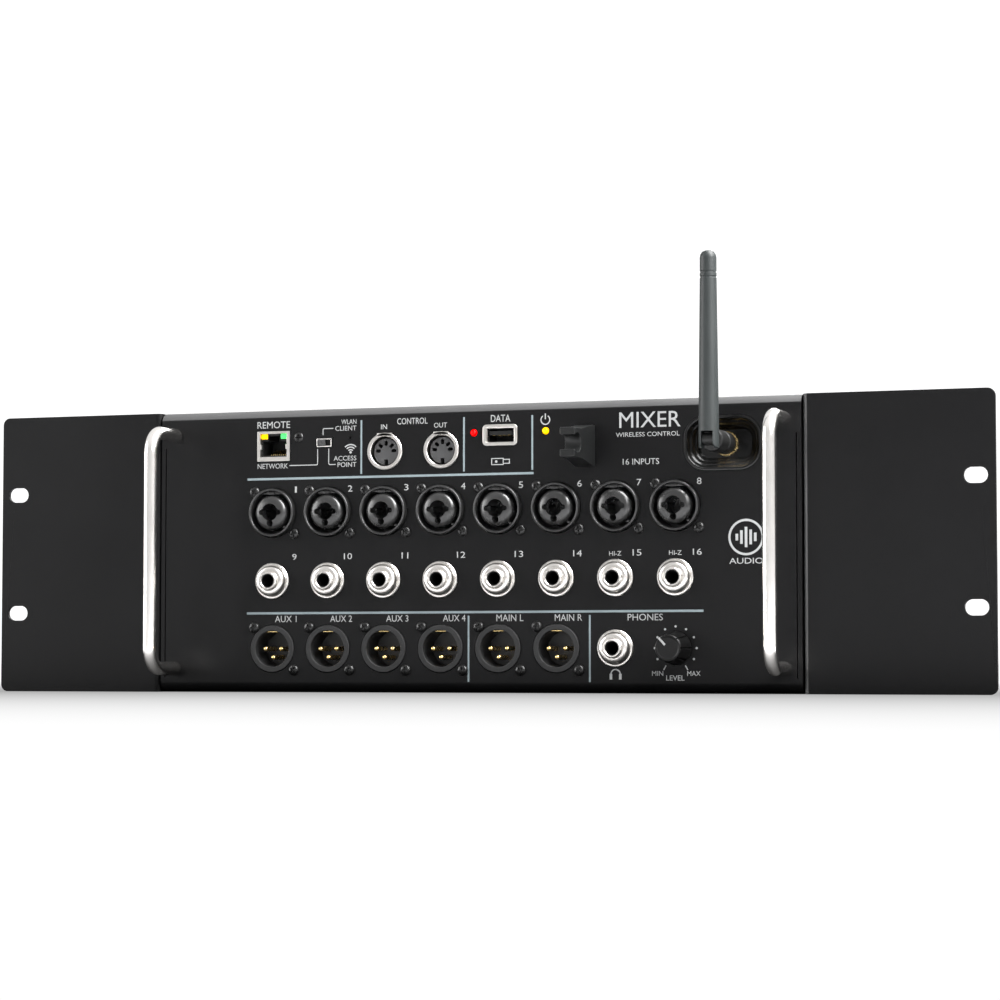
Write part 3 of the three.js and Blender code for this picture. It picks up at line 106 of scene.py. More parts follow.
def shader(name, inputs_of):
    """A material whose shader takes the inputs that inputs_of works out from its node tree."""
    material = bpy.data.materials.new(name)
    material.use_nodes = True
    tree = material.node_tree
    surface = tree.nodes["Principled BSDF"]
    for key, value in inputs_of(tree).items():
        if isinstance(value, Wire):
            tree.links.new(value.socket, surface.inputs[key])
        else:
            surface.inputs[key].default_value = value
    return material


def noise(tree, scale, detail=2.0):
    place = add_node(tree, "TexCoord", {}, {})["Object"]
    inputs = {"Vector": place, "Scale": scale, "Detail": detail}
    return add_node(tree, "TexNoise", {}, inputs)["Fac"]


def outside(value, limit):
    """How far a value lies beyond plus or minus a limit."""
    return value.math("MAXIMUM", value.math("ABSOLUTE", value) - limit)


def make_floor():
    bpy.ops.object.select_all(action="DESELECT")
    bpy.ops.mesh.primitive_grid_add(x_subdivisions=8, y_subdivisions=8, size=30)
    floor = bpy.context.object
    floor.name = "floor"
    material = bpy.data.materials.new("pale_floor")
    material.use_nodes = True
    tree = material.node_tree
    tree.nodes.clear()
    place = add_node(tree, "TexCoord", {}, {})["Object"]
    parts = add_node(tree, "SeparateXYZ", {}, {"Vector": place})
    # Painted shadow: the floor turns dark round the mixer; seen by the camera it fades to white within 0.75
    # m, and to other rays it is dark close by and pale beyond 0.14 m.
    aside = outside(parts["X"], 240 * mm)
    ahead = outside(parts["Y"], -face)
    distance = aside.math("SQRT", aside * aside + ahead * ahead)
    painted_shadow_fade = distance.ramp(-0.5, 0.75, 0.05, 1.0)
    near = distance.ramp(0.01, 0.14)
    dark = add_node(tree, "BsdfDiffuse", {}, {"Color": (0.02, 0.02, 0.02, 1.0)})["BSDF"]
    pale = add_node(tree, "BsdfDiffuse", {}, {"Color": (0.6, 0.6, 0.61, 1.0)})["BSDF"]
    white = add_node(tree, "Emission", {}, {"Strength": 1.02})["Emission"]
    lit = add_node(tree, "MixShader", {}, {0: near, 1: dark, 2: pale})["Shader"]
    camera_floor_with_painted_shadow = add_node(tree, "MixShader", {}, {0: painted_shadow_fade, 1: dark, 2: white})["Shader"]
    seen = add_node(tree, "LightPath", {}, {})["Is Camera Ray"]
    mixed = add_node(tree, "MixShader", {}, {0: seen, 1: lit, 2: camera_floor_with_painted_shadow})["Shader"]
    add_node(tree, "OutputMaterial", {}, {"Surface": mixed})
    floor.data.materials.append(material)


def make_surround():
    world = bpy.data.worlds.new("surround")
    bpy.context.scene.world = world
    world.use_nodes = True
    tree = world.node_tree
    tree.nodes.clear()
    direction = add_node(tree, "TexCoord", {}, {})["Generated"]
    height = add_node(tree, "SeparateXYZ", {}, {"Vector": direction})["Z"]
    lit = height.ramp(-0.3, 0.1, 0.4, 0.7) + height.ramp(0.3, 0.9, 0.0, 0.3)
    seen = add_node(tree, "LightPath", {}, {})["Is Camera Ray"]
    strength = seen * 1.2 + (1.0 - seen) * lit
    colour = (1.0, 1.0, 1.0, 1.0)
    back = add_node(tree, "Background", {}, {"Color": colour, "Strength": strength})["Background"]
    add_node(tree, "OutputWorld", {}, {"Surface": back})


def soft_light(name, place, target, width, height, power):
    bpy.ops.object.light_add(type="AREA", location=place)
    light = bpy.context.object
    light.name = name
    light.data.shape = "RECTANGLE"
    light.data.size = width
    light.data.size_y = height
    light.data.energy = power
    aim = Vector(target) - Vector(place)
    light.rotation_euler = aim.to_track_quat("-Z", "Y").to_euler()


make_floor()
make_surround()
soft_light("overhead_light", (0.62, -0.12, 0.8), (0.3, 0.0, 0.1), 0.6, 0.8, 52)
soft_light("right_light", (1.3, -0.9, 0.9), (0, 0, 0.06), 0.7, 0.7, 16)
soft_light("left_light", (-1.4, -0.6, 0.4), (0, 0, 0.06), 0.9, 0.9, 22)
soft_light("rear_light", (0.2, 1.5, 0.9), (0, 0, 0.06), 1.2, 0.6, 12)

CAMERA_AZIMUTH = math.radians(19.38)
CAMERA_PITCH = math.radians(3.23)
bpy.ops.object.camera_add(
    location=(447 * mm, face - 1228 * mm, 14.5 * mm),
    rotation=(math.pi / 2 + CAMERA_PITCH, 0, CAMERA_AZIMUTH),
)
camera = bpy.context.object
camera.data.lens = 102.83
camera.data.clip_start = 0.01
bpy.context.scene.camera = camera
bpy.context.scene.view_settings.view_transform = "Standard"

# ---- Front panel ----
# One sheet of 2 mm steel, its long edges folded back, punched for every socket and painted
# black with a faint orange-peel texture, and a highlight painted paler on its bends. It is
# screwed to the tray.

panel_low, panel_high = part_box("front_panel")
panel_sheet = 2 * mm
panel_bend = 5 * mm
panel_height = panel_high.z


def black_paint_inputs(tree):
    """Black, with a highlight painted paler where a bend faces up or to the left, between a face and a
    side.
    """
    facing = add_node(tree, "NewGeometry", {}, {})["Normal"]
    parts = add_node(tree, "SeparateXYZ", {}, {"Vector": facing})
    # Painted highlight: surfaces turning from the front to the top or the left, mostly the bends, are
    # painted paler, standing for the light they catch; right-facing bends, sides and undersides stay black.
    bend = outside(parts["Y"], 0.0).ramp(0.93, 0.985, 1.0, 0.0)
    side = outside(parts["X"] + 0.38, 0.42).ramp(0.0, 0.08)
    top = parts["Z"].ramp(0.93, 1.0, 0.0, 0.7)
    under = parts["Z"].ramp(-0.12, -0.04, 1.0, 0.0)
    painted_bend_highlight = (bend - side - top - under).ramp(0.0, 1.0)
    grain = noise(tree, 1500, 3.0)
    haze = noise(tree, 22, 4.0)
    rubbed = noise(tree, 160, 6.0).ramp(0.62, 0.75)
    shade = (haze * 0.05 + painted_bend_highlight * 0.95).ramp(0.0, 1.0)
    colour = mix_colours(tree, shade, (0.0026, 0.0026, 0.0028), (0.055, 0.055, 0.0555))
    height = {"Height": grain, "Strength": 0.12, "Distance": 0.00008}
    return {
        "Base Color": colour,
        "Roughness": 0.34 + haze * 0.12 + rubbed * 0.05,
        "Specular IOR Level": 0.145,
        "Normal": add_node(tree, "Bump", {}, height)["Normal"],
    }


black_paint = shader("black_paint", black_paint_inputs)


def placed():
    """The piece just added, its place, turn and size moved into its mesh."""
    bpy.ops.object.transform_apply(location=True, rotation=True, scale=True)
    return bpy.context.object


def block(name, low, high):
    """A box between two corners."""
    bpy.ops.object.select_all(action="DESELECT")
    middle = (Vector(low) + Vector(high)) / 2
    size = Vector(high) - Vector(low)
    bpy.ops.mesh.primitive_cube_add(size=1, location=middle, scale=size)
    piece = placed()
    piece.name = name
    return piece


def rod(radius, low, high, along="Y", vertices=64):
    """A round bar between two points on a line along an axis."""
    bpy.ops.object.select_all(action="DESELECT")
    middle = (Vector(low) + Vector(high)) / 2
    length = (Vector(high) - Vector(low)).length
    turn = {"X": (0, math.pi / 2, 0), "Y": (math.pi / 2, 0, 0), "Z": (0, 0, 0)}[along]
    bpy.ops.mesh.primitive_cylinder_add(
        vertices=vertices, radius=radius, depth=length, location=middle, rotation=turn
    )
    return placed()


def select_only(piece):
    bpy.ops.object.select_all(action="DESELECT")
    piece.select_set(True)
    bpy.context.view_layer.objects.active = piece


def edit(piece, kind):
    """Opens a piece in edit mode with nothing selected."""
    select_only(piece)
    bpy.ops.object.mode_set(mode="EDIT")
    bpy.ops.mesh.select_mode(type=kind)
    bpy.ops.mesh.select_all(action="DESELECT")


def pick(piece, kind, wanted):
    """In edit mode, selects only the faces, edges or verts that are wanted."""
    bpy.ops.mesh.select_all(action="DESELECT")
    shape = bmesh.from_edit_mesh(piece.data)
    for item in getattr(shape, kind):
        if wanted(item):
            item.select_set(True)
    bmesh.update_edit_mesh(piece.data)


def close_edit():
    bpy.ops.object.mode_set(mode="OBJECT")


def change(piece, kind, **settings):
    """Adds a modifier and applies it."""
    modifier = piece.modifiers.new(kind.lower(), kind)
    for key, value in settings.items():
        setattr(modifier, key, value)
    select_only(piece)
    bpy.ops.object.modifier_apply(modifier=modifier.name)


def cut(piece, cutter):
    change(piece, "BOOLEAN", operation="DIFFERENCE", solver="EXACT", object=cutter)
    bpy.data.objects.remove(cutter)


def smooth(piece, degrees=35):
    """Shades a piece smooth across the edges that turn less than an angle."""
    select_only(piece)
    bpy.ops.object.shade_smooth_by_angle(angle=math.radians(degrees))
    change(piece, "WEIGHTED_NORMAL", keep_sharp=True, weight=100)


def ease(piece, width, segments=2, sharp=35, smooth_below=35):
    """Rounds the edges that turn more than an angle, then shades the piece smooth."""
    settings = {"width": width, "segments": segments, "harden_normals": False}
    change(piece, "BEVEL", limit_method="ANGLE", angle_limit=math.radians(sharp), **settings)
    smooth(piece, smooth_below)


def join(name, pieces):
    bpy.ops.object.select_all(action="DESELECT")
    for piece in pieces:
        piece.select_set(True)
    bpy.context.view_layer.objects.active = pieces[0]
    bpy.ops.object.join()
    pieces[0].name = name
    return pieces[0]


def copy_to(piece, name, offset):
    """A copy with its own mesh, moved by the offset inside that mesh."""
    twin = bpy.data.objects.new(name, piece.data.copy())
    bpy.context.scene.collection.objects.link(twin)
    twin.data.transform(Matrix.Translation(offset))
    return twin


def fit(piece, material, slot, body, *nodes):
    """Gives a finished piece its finish and its body, and hides the nodes that it stands for."""
    piece.data.materials.clear()
    piece.data.materials.append(material)
    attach(piece, body)
    if nodes:
        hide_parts(*nodes)


def middle_of(node):
    low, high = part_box(node)
    return (low + high) / 2


def at_face(node):
    """The point of the panel's face in front of a node's middle."""
    middle = middle_of(node)
    return Vector((middle.x, face, middle.z))


def hole(node, radius):
    place = at_face(node)
    return rod(radius, place - Vector((0, 1 * mm, 0)), place + Vector((0, 5 * mm, 0)))


def window(low_x, high_x, low_z, high_z):
    return block("window", (low_x, face - 1 * mm, low_z), (high_x, face + 5 * mm, high_z))


def rounded_window(low, high, corner, segments=8):
    """A cutter with rounded upright corners seen from the front."""
    cutter = window(low[0], high[0], low[1], high[1])
    edit(cutter, "EDGE")
    pick(cutter, "edges", lambda edge: abs(edge.verts[0].co.y - edge.verts[1].co.y) > mm)
    bpy.ops.mesh.bevel(offset=corner, segments=segments, affect="EDGES")
    close_edit()
    return cutter


COMBO_NODES = ["combo_socket_%d" % number for number in range(1, 9)]
JACK_NODES = ["line_jack_%d" % number for number in range(9, 17)] + ["phones_jack"]
OUTPUT_NODES = ["aux_output_%d" % number for number in range(1, 5)]
OUTPUT_NODES += ["main_output_left", "main_output_right"]
CONTROL_NODES = ["control_socket_in", "control_socket_out"]
LAMP_NODES = ["data_led", "power_led"]


def panel_cutters():
    gap = 0.3 * mm
    round_holes = (
        (COMBO_NODES, 11.5 * mm + gap),
        (JACK_NODES, 4.9 * mm + gap),
        (OUTPUT_NODES, 10.95 * mm + gap),
        (CONTROL_NODES, 6.9 * mm + gap),
        (LAMP_NODES, 1.8 * mm),
        (["reset_button"], 0.8 * mm),
        (["level_knob"], 4.9 * mm),
    )
    cutters = [hole(node, radius) for nodes, radius in round_holes for node in nodes]
    for node in ["network_socket", "data_port"]:
        low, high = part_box(node)
        inset = gap if node == "network_socket" else -1 * mm
        cutters.append(window(low.x - inset, high.x + inset, low.z - inset, high.z + inset))
    slider = middle_of("mode_switch_body")
    wide, tall = 4.25 * mm, 2.35 * mm
    cutters.append(window(slider.x - wide, slider.x + wide, slider.z - tall, slider.z + tall))
    low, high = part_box("antenna_well")
    corners = (low.x - gap, low.z - gap), (high.x + gap, high.z + gap)
    cutters.append(rounded_window(*corners, 10 * mm + gap))
    slit_inset = 2.2 * mm
    for side in (-1, 1):
        x = side * (panel_high.x - slit_inset)
        cutters.append(window(x - 0.25 * mm, x + 0.25 * mm, 7 * mm, panel_height - 17 * mm))
    return join("panel_cutters", cutters)


def make_front_panel():
    panel = block("front_panel_sheet", panel_low, panel_high)
    edit(panel, "FACE")
    pick(panel, "faces", lambda side: side.normal.y > 0.9 or abs(side.normal.x) > 0.9)
    bpy.ops.mesh.delete(type="FACE")
    bpy.ops.mesh.select_mode(type="EDGE")
    pick(panel, "edges", lambda edge: all(corner.co.y < face + mm for corner in edge.verts)
         and abs(edge.verts[0].co.x - edge.verts[1].co.x) > mm)
    bpy.ops.mesh.bevel(offset=panel_bend, segments=8, affect="EDGES")
    close_edit()
    change(panel, "SOLIDIFY", thickness=panel_sheet, offset=-1, use_even_offset=True)
    cut(panel, panel_cutters())
    smooth(panel, 25)
    fit(panel, black_paint, "black_paint", "case", "front_panel")


make_front_panel()

# ---- Rack ears ----
# Two brackets of 2 mm steel, each bent once: a face with two rack slots, and a flange that
# three pan-head screws hold against the side of the case.

ear_low, ear_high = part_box("right_rack_ear")
ear_sheet = 2 * mm
slot_spacing = 57.15 * mm
slot_from_edge = 8.75 * mm
ear_screw_places = [
    (face + 22 * mm, 18 * mm),
    (face + 22 * mm, panel_height - 18 * mm),
    (face + 60 * mm, panel_height / 2),
]


def slot_cutter(x, z):
    half_length, half_height = 5.25 * mm, 3.5 * mm
    low = (x - half_length, z - half_height)
    high = (x + half_length, z + half_height)
    return rounded_window(low, high, 3.45 * mm, 10)


def make_right_ear():
    ear = block("right_ear_bracket", ear_low, ear_high)
    edit(ear, "FACE")
    pick(ear, "faces", lambda side: side.normal.x > 0.9 or side.normal.y > 0.9
         or abs(side.normal.z) > 0.9)
    bpy.ops.mesh.delete(type="FACE")
    bpy.ops.mesh.select_mode(type="VERT")
    pick(ear, "verts", lambda corner: corner.co.x > ear_high.x - mm)
    bpy.ops.mesh.bevel(offset=3.5 * mm, segments=8, affect="VERTICES")
    bpy.ops.mesh.select_mode(type="EDGE")
    pick(ear, "edges", lambda edge: all(corner.co.x < ear_low.x + mm and corner.co.y < face + mm
                                        for corner in edge.verts))
    bpy.ops.mesh.bevel(offset=3 * mm, segments=8, affect="EDGES")
    close_edit()
    change(ear, "SOLIDIFY", thickness=ear_sheet, offset=-1, use_even_offset=True)
    x = ear_high.x - slot_from_edge
    middle = panel_height / 2
    cutters = [slot_cutter(x, middle + side * slot_spacing / 2) for side in (-1, 1)]
    for y, z in ear_screw_places:
        ends = (ear_low.x - mm, y, z), (ear_low.x + 4 * mm, y, z)
        cutters.append(rod(2.3 * mm, *ends, "X", 24))
    cut(ear, join("ear_cutters", cutters))
    ease(ear, 0.25 * mm, 2, 60, 25)
    return ear


def mirrored(piece, name):
    """The same piece for the other side of the case."""
    twin = copy_to(piece, name, (0, 0, 0))
    twin.data.transform(Matrix.Scale(-1, 4, (1, 0, 0)))
    edit(twin, "FACE")
    bpy.ops.mesh.select_all(action="SELECT")
    bpy.ops.mesh.normals_make_consistent(inside=False)
    close_edit()
    bpy.ops.mesh.customdata_custom_splitnormals_clear()
    smooth(twin, 25)
    return twin


right_ear = make_right_ear()
left_ear = mirrored(right_ear, "left_ear_bracket")
fit(right_ear, black_paint, "black_paint", "case", "right_rack_ear")
fit(left_ear, black_paint, "black_paint", "case", "left_rack_ear")

# ---- Tray and cover ----
# The folded tray is the bottom, the rear wall and the sides, and the flat lid drops between
# its sides. Both are 1.5 mm steel with slots for the warm air, painted as the panel is.


def dressed_copy(name, node, edge_width):
    """The same sheet as a frame node, with its edges eased."""
    piece = bpy.data.objects.new(name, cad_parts[node].data.copy())
    bpy.context.scene.collection.objects.link(piece)
    edit(piece, "VERT")
    bpy.ops.mesh.select_all(action="SELECT")
    bpy.ops.mesh.remove_doubles(threshold=0.002 * mm)
    bpy.ops.mesh.dissolve_limited(angle_limit=math.radians(1))
    close_edit()
    ease(piece, edge_width, 2, 40, 30)
    return piece


tray = dressed_copy("tray_sheet", "chassis_tray", 0.3 * mm)
fit(tray, black_paint, "black_paint", "case", "chassis_tray")
lid = dressed_copy("lid_sheet", "top_cover", 0.3 * mm)
fit(lid, black_paint, "black_paint", "case", "top_cover")

# ---- Handles ----
# Round steel bar, 6.4 mm thick, bent twice and plated with satin nickel. A screw from
# behind the panel goes into the end of each leg.


def nickel_inputs(tree):
    place = add_node(tree, "TexCoord", {}, {})["Object"]
    stretch = add_node(tree, "Mapping", {}, {"Vector": place, "Scale": (2600, 2600, 60)})["Vector"]
    brushing = add_node(tree, "TexNoise", {}, {"Vector": stretch, "Scale": 1.0, "Detail": 2.0})["Fac"]
    cloud = noise(tree, 40, 3.0)
    height = {"Height": brushing, "Strength": 0.08, "Distance": 0.00002}
    return {
        "Base Color": mix_colours(tree, cloud, (0.84, 0.81, 0.78), (0.92, 0.9, 0.87)),
        "Metallic": 1.0,
        "Roughness": 0.15 + cloud * 0.06 + brushing * 0.03,
        "Normal": add_node(tree, "Bump", {}, height)["Normal"],
    }


nickel = shader("satin_nickel", nickel_inputs)


def close_shell():
    """In edit mode, merges the corners that meet, turns the faces outwards and closes."""
    bpy.ops.mesh.select_all(action="SELECT")
    bpy.ops.mesh.remove_doubles(threshold=mm / 1000)
    bpy.ops.mesh.normals_make_consistent(inside=False)
    close_edit()


def make_handle(node, name):
    low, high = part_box(node)
    radius = 3.2 * mm
    bend = 10 * mm
    x = (low.x + high.x) / 2
    bottom, top = low.z + radius, high.z - radius
    grip = low.y + radius
    start = high.y
    bpy.ops.object.select_all(action="DESELECT")
    bpy.ops.mesh.primitive_circle_add(
        vertices=32,
        radius=radius,
        fill_type="NGON",
        location=(x, start, bottom),
        rotation=(math.pi / 2, 0, 0),
    )
    handle = placed()
    handle.name = name
    bpy.ops.object.mode_set(mode="EDIT")
    bpy.ops.mesh.select_mode(type="FACE")
    bpy.ops.mesh.select_all(action="SELECT")
    leg = grip + bend - start
    bpy.ops.mesh.extrude_region_move(TRANSFORM_OT_translate={"value": (0, leg, 0)})
    quarter = math.pi / 2
    centre = (x, grip + bend, bottom + bend)
    bpy.ops.mesh.spin(steps=12, angle=quarter, center=centre, axis=(1, 0, 0))
    straight = top - bottom - 2 * bend
    bpy.ops.mesh.extrude_region_move(TRANSFORM_OT_translate={"value": (0, 0, straight)})
    centre = (x, grip + bend, top - bend)
    bpy.ops.mesh.spin(steps=12, angle=quarter, center=centre, axis=(1, 0, 0))
    bpy.ops.mesh.extrude_region_move(TRANSFORM_OT_translate={"value": (0, -leg, 0)})
    close_shell()
    ease(handle, 0.3 * mm, 2, 60)
    fit(handle, nickel, "nickel", "case", node)


make_handle("left_handle", "left_handle_bar")
make_handle("right_handle", "right_handle_bar")

# ---- Combination sockets ----
# Each is a black die-cast ring on the panel's face with a glossy moulded core behind it, a
# latch at the top of the gap between them, and a jack opening with three keyed lobes.


def turned(name, profile, place, steps=64, along=(0, 1, 0), across=(1, 0, 0)):
    """Spins a profile of (radius, depth) points about a line through place."""
    along, across, place = Vector(along), Vector(across), Vector(place)
    bpy.ops.object.select_all(action="DESELECT")
    bpy.ops.mesh.primitive_plane_add(size=mm)
    piece = bpy.context.object
    piece.name = name
    bpy.ops.object.mode_set(mode="EDIT")
    bpy.ops.mesh.select_mode(type="VERT")
    bpy.ops.mesh.select_all(action="SELECT")
    bpy.ops.mesh.merge(type="CENTER")
    points = [place + across * radius + along * depth for radius, depth in profile]
    bpy.ops.transform.translate(value=points[0])
    for before, after in zip(points, points[1:]):
        step = after - before
        bpy.ops.mesh.extrude_region_move(TRANSFORM_OT_translate={"value": step})
    bpy.ops.mesh.select_all(action="SELECT")
    bpy.ops.mesh.spin(steps=steps, angle=2 * math.pi, center=place, axis=along)
    close_shell()
    return piece


def in_mm(profile):
    return [(radius * mm, depth * mm) for radius, depth in profile]


def block_at(place, name, low, high):
    """A box between two corners given in mm from a point."""
    return block(name, place + Vector(low) * mm, place + Vector(high) * mm)


def fit_row(first, stem, nodes, finish, slot, marks=range(2, 9)):
    """Fits a piece at the first node, and its copies, named by their marks, at the others."""
    for mark, node in zip(marks, nodes[1:]):
        twin = copy_to(first, stem + str(mark), at_face(node) - at_face(nodes[0]))
        fit(twin, finish, slot, "case", node)
    fit(first, finish, slot, "case", nodes[0])


def grey(level):
    return (level, level, level)


def moulded(name, dark, light, roughness, grain_depth, shine=0.5):
    """A moulded plastic: cloudy colour, faint flow marks and a fine grain."""

    def inputs_of(tree):
        grain = noise(tree, 2600, 2.0)
        cloud = noise(tree, 90, 4.0)
        height = {"Height": grain, "Strength": 0.2, "Distance": grain_depth}
        return {
            "Base Color": mix_colours(tree, cloud, dark, light),
            "Roughness": roughness + cloud * 0.12,
            "Specular IOR Level": shine,
            "Normal": add_node(tree, "Bump", {}, height)["Normal"],
        }

    return shader(name, inputs_of)


glossy_plastic = moulded("glossy_black_plastic", grey(0.01), grey(0.017), 0.22, 0.000015)
ring_enamel = moulded("ring_enamel", grey(0.006), grey(0.014), 0.24, 0.00004)

combo_face = at_face("combo_socket_1")
combo_ring_profile = in_mm(
    [(9.8, 12), (9.8, -1.6), (10.1, -2.3), (10.6, -2.8), (11.1, -2.7), (11.5, -1.9), (11.5, 12)]
    + [(9.8, 12)]
)
combo_core_profile = in_mm(
    [(0, -4.1), (4.2, -3.95), (6.2, -3.5), (7.5, -2.7), (8.3, -1.2), (8.3, 12), (10.4, 12)]
    + [(10.4, 15), (0, 15)]
)


def make_combo_core():
    """A domed plug of plastic with its keyed opening cut through."""
    core = turned("combo_core_1", combo_core_profile, combo_face)
    x, z = combo_face.x, combo_face.z
    y0, y1 = face - 8 * mm, face + 13 * mm
    opening = rod(4.0 * mm, (x, y0, z + 0.2 * mm), (x, y1, z + 0.2 * mm))
    cut(core, opening)
    low, high = (x - 5.5 * mm, z - 1.1 * mm), (x + 5.5 * mm, z + 1.3 * mm)
    side_lobes = rounded_window(low, high, 1.1 * mm, 6)
    side_lobes.data.transform(Matrix.Translation((0, -4 * mm, 0)))
    cut(core, side_lobes)
    bpy.ops.object.select_all(action="DESELECT")
    bpy.ops.mesh.primitive_cylinder_add(
        vertices=3,
        radius=4.9 * mm,
        depth=y1 - y0,
        location=(x, (y0 + y1) / 2, z - 0.9 * mm),
        rotation=(-math.pi / 2, 0, 0),
    )
    cut(core, placed())
    cut(core, rod(1.6 * mm, (x, y0, z - 5 * mm), (x, y1, z - 5 * mm), "Y", 32))
    ease(core, 0.22 * mm, 2, 50, 40)
    return core


def make_combo_ring():
    ring = turned("combo_ring_1", combo_ring_profile, combo_face)
    ease(ring, 0.25 * mm, 3, 30)
    return ring


def make_combo_latch():
    """The steel latch's black cover, and the small keeper low on the right."""
    bridge = block_at(combo_face, "combo_latch_1", (-4.2, -1.6, 8.6), (4.2, 6, 10.1))
    tongue = block_at(combo_face, "latch_tongue", (-1.6, -2.4, 8.45), (1.6, 4, 9.6))
    keeper = block_at(combo_face, "latch_keeper", (5.6, -1.2, -7.2), (6.9, 6, -6.1))
    latch = join("combo_latch_1", [bridge, tongue, keeper])
    ease(latch, 0.3 * mm)
    return latch


fit_row(make_combo_ring(), "combo_ring_", COMBO_NODES, ring_enamel, "black_plastic")
fit_row(make_combo_core(), "combo_core_", COMBO_NODES, glossy_plastic, "black_plastic")
fit_row(make_combo_latch(), "combo_latch_", COMBO_NODES, ring_enamel, "black_plastic")

# ---- Socket screws ----
# A pair of black cross-head screws holds each round socket to the panel, one above it on
# the left and one below it on the right. Each stopped at its own angle.

screw_head_profile = in_mm(
    [(0, -1.45), (1.1, -1.38), (1.9, -1.1), (2.4, -0.6), (2.6, -0.02), (2.6, 0.3), (0, 0.3)]
)
screw_black = moulded("screw_black", grey(0.003), grey(0.007), 0.22, 0.00003, 0.35)
screw_offsets = [Vector((-9.3, 0, 9.9)) * mm, Vector((10.9, 0, -9.9)) * mm]


def make_screw(name, profile, place, recess=1.5 * mm, depth=1.0 * mm):
    """A round head with a cross recess, spun at its place."""
    head = turned(name, profile, place, 24)
    top = place[1] + min(point[1] for point in profile)
    for wide, tall in ((recess, 0.35 * mm), (0.35 * mm, recess)):
        low = (place[0] - wide, top - mm, place[2] - tall)
        high = (place[0] + wide, top + depth, place[2] + tall)
        cut(head, block("recess", low, high))
    smooth(head, 30)
    return head


def turn_about(piece, centre, angle):
    """Turns a piece inside its mesh, about a line along Y through a point."""
    turn = Matrix.Translation(centre) @ Matrix.Rotation(angle, 4, "Y")
    piece.data.transform(turn @ Matrix.Translation(-centre))


def turned_copy(piece, name, offset, centre, angle):
    """A copy turned about a point, then moved."""
    twin = copy_to(piece, name, (0, 0, 0))
    turn_about(twin, centre, angle)
    twin.data.transform(Matrix.Translation(offset))
    return twin


first_screw = make_screw("socket_screw_model", screw_head_profile, combo_face)
screw_number = 0
for node in COMBO_NODES + OUTPUT_NODES:
    for offset in screw_offsets:
        screw_number += 1
        place = at_face(node) - combo_face + offset
        angle = math.radians(37 * screw_number % 90)
        name = "socket_screw_%d" % screw_number
        fit(turned_copy(first_screw, name, place, combo_face, angle), screw_black,
            "black_paint", "case")
bpy.data.objects.remove(first_screw)

# ---- Ear screws ----
# Three black pan-head screws on each side go through the ear's flange into the case.

ear_screw_number = 0
for side in (-1, 1):
    for y, z in ear_screw_places:
        ear_screw_number += 1
        head = make_screw(
            "ear_screw_%d" % ear_screw_number,
            in_mm([(0, -2.2), (1.6, -2.1), (3.2, -1.5), (4.0, -0.5), (4.0, 0), (2, 0), (2, 3), (0, 3)]),
            Vector((0, 0, 0)),
            2.2 * mm,
        )
        flange_x = side * (ear_low.x + ear_sheet)
        turn = Matrix.Rotation(side * math.pi / 2, 4, "Z")
        head.data.transform(Matrix.Translation((flange_x, y, z)) @ turn)
        fit(head, screw_black, "black_paint", "case")

# ---- Line jacks and headphone jack ----
# A quarter-inch jack with a domed, nickel-plated brass nut and a black moulded bore, held
# from the front by the nut.

nut_profile = in_mm(
    [(3.2, 20), (3.2, -5.9), (3.45, -6.2), (4.0, -6.2), (4.35, -5.9), (4.5, -5.0), (4.7, -4.6)]
    + [(5.3, -4.6), (6.1, -4.35), (6.7, -3.8), (7.1, -3.0), (7.3, -1.9), (7.5, -1.3), (8.1, -1.25)]
    + [(8.4, -0.95), (8.4, -0.05), (4.9, -0.05), (4.9, 20), (3.2, 20)]
)
bore_profile = in_mm([(0, 24), (0, 22), (2.9, 22), (2.9, -5.5), (3.19, -5.6), (3.19, 24), (0, 24)])


def plated(name, cloud_scale, grain_scale, relief, dark, light, roughness, spread):
    """A plated metal: cloudy colour and shine over a very fine grain."""

    def inputs_of(tree):
        cloud = noise(tree, cloud_scale, 3.0)
        height = {"Height": noise(tree, grain_scale, 2.0), "Strength": relief, "Distance": 0.00002}
        return {
            "Base Color": mix_colours(tree, cloud, dark, light),
            "Metallic": 1.0,
            "Roughness": roughness + cloud * spread,
            "Normal": add_node(tree, "Bump", {}, height)["Normal"],
        }

    return shader(name, inputs_of)


bright_nickel = plated(
    "bright_nickel", 300, 1800, 0.05, (0.6, 0.575, 0.545), (0.66, 0.64, 0.61), 0.26, 0.06
)
dark_plastic = moulded("dark_plastic", grey(0.003), grey(0.007), 0.45, 0.00003, 0.25)
jack_face = at_face("line_jack_9")
jack_marks = [*range(10, 17), "phones_jack"]
nut = turned("jack_nut_9", nut_profile, jack_face)
smooth(nut, 28)
bore = turned("jack_bore_9", bore_profile, jack_face, 40)
smooth(bore)
fit_row(nut, "jack_nut_", JACK_NODES, bright_nickel, "nickel", jack_marks)
fit_row(bore, "jack_bore_", JACK_NODES, dark_plastic, "black_plastic", jack_marks)

# ---- Three-pin outputs ----
# A grey moulded ring and a black cup, with three gold pins standing on the cup's floor and
# a gold earth contact at its top.

output_ring_profile = in_mm(
    [(8.45, 2), (8.45, -0.3), (8.65, -0.5), (10.7, -0.5), (10.95, -0.25), (10.95, 6), (9.2, 6)]
    + [(9.2, 2), (8.45, 2)]
)
output_cup_profile = in_mm(
    [(0, 12.5), (7.9, 12.5), (8.2, 12.2), (8.44, 2.1), (9.1, 2.1), (9.1, 16), (0, 16)]
)
pin_profile = in_mm(
    [(0, 0.6), (0.45, 0.66), (0.85, 0.9), (1.08, 1.3), (1.15, 1.9), (1.15, 13), (0, 13)]
)
pin_places = [Vector((-4, 0, 0)) * mm, Vector((0, 0, -4)) * mm, Vector((4, 0, 0)) * mm]

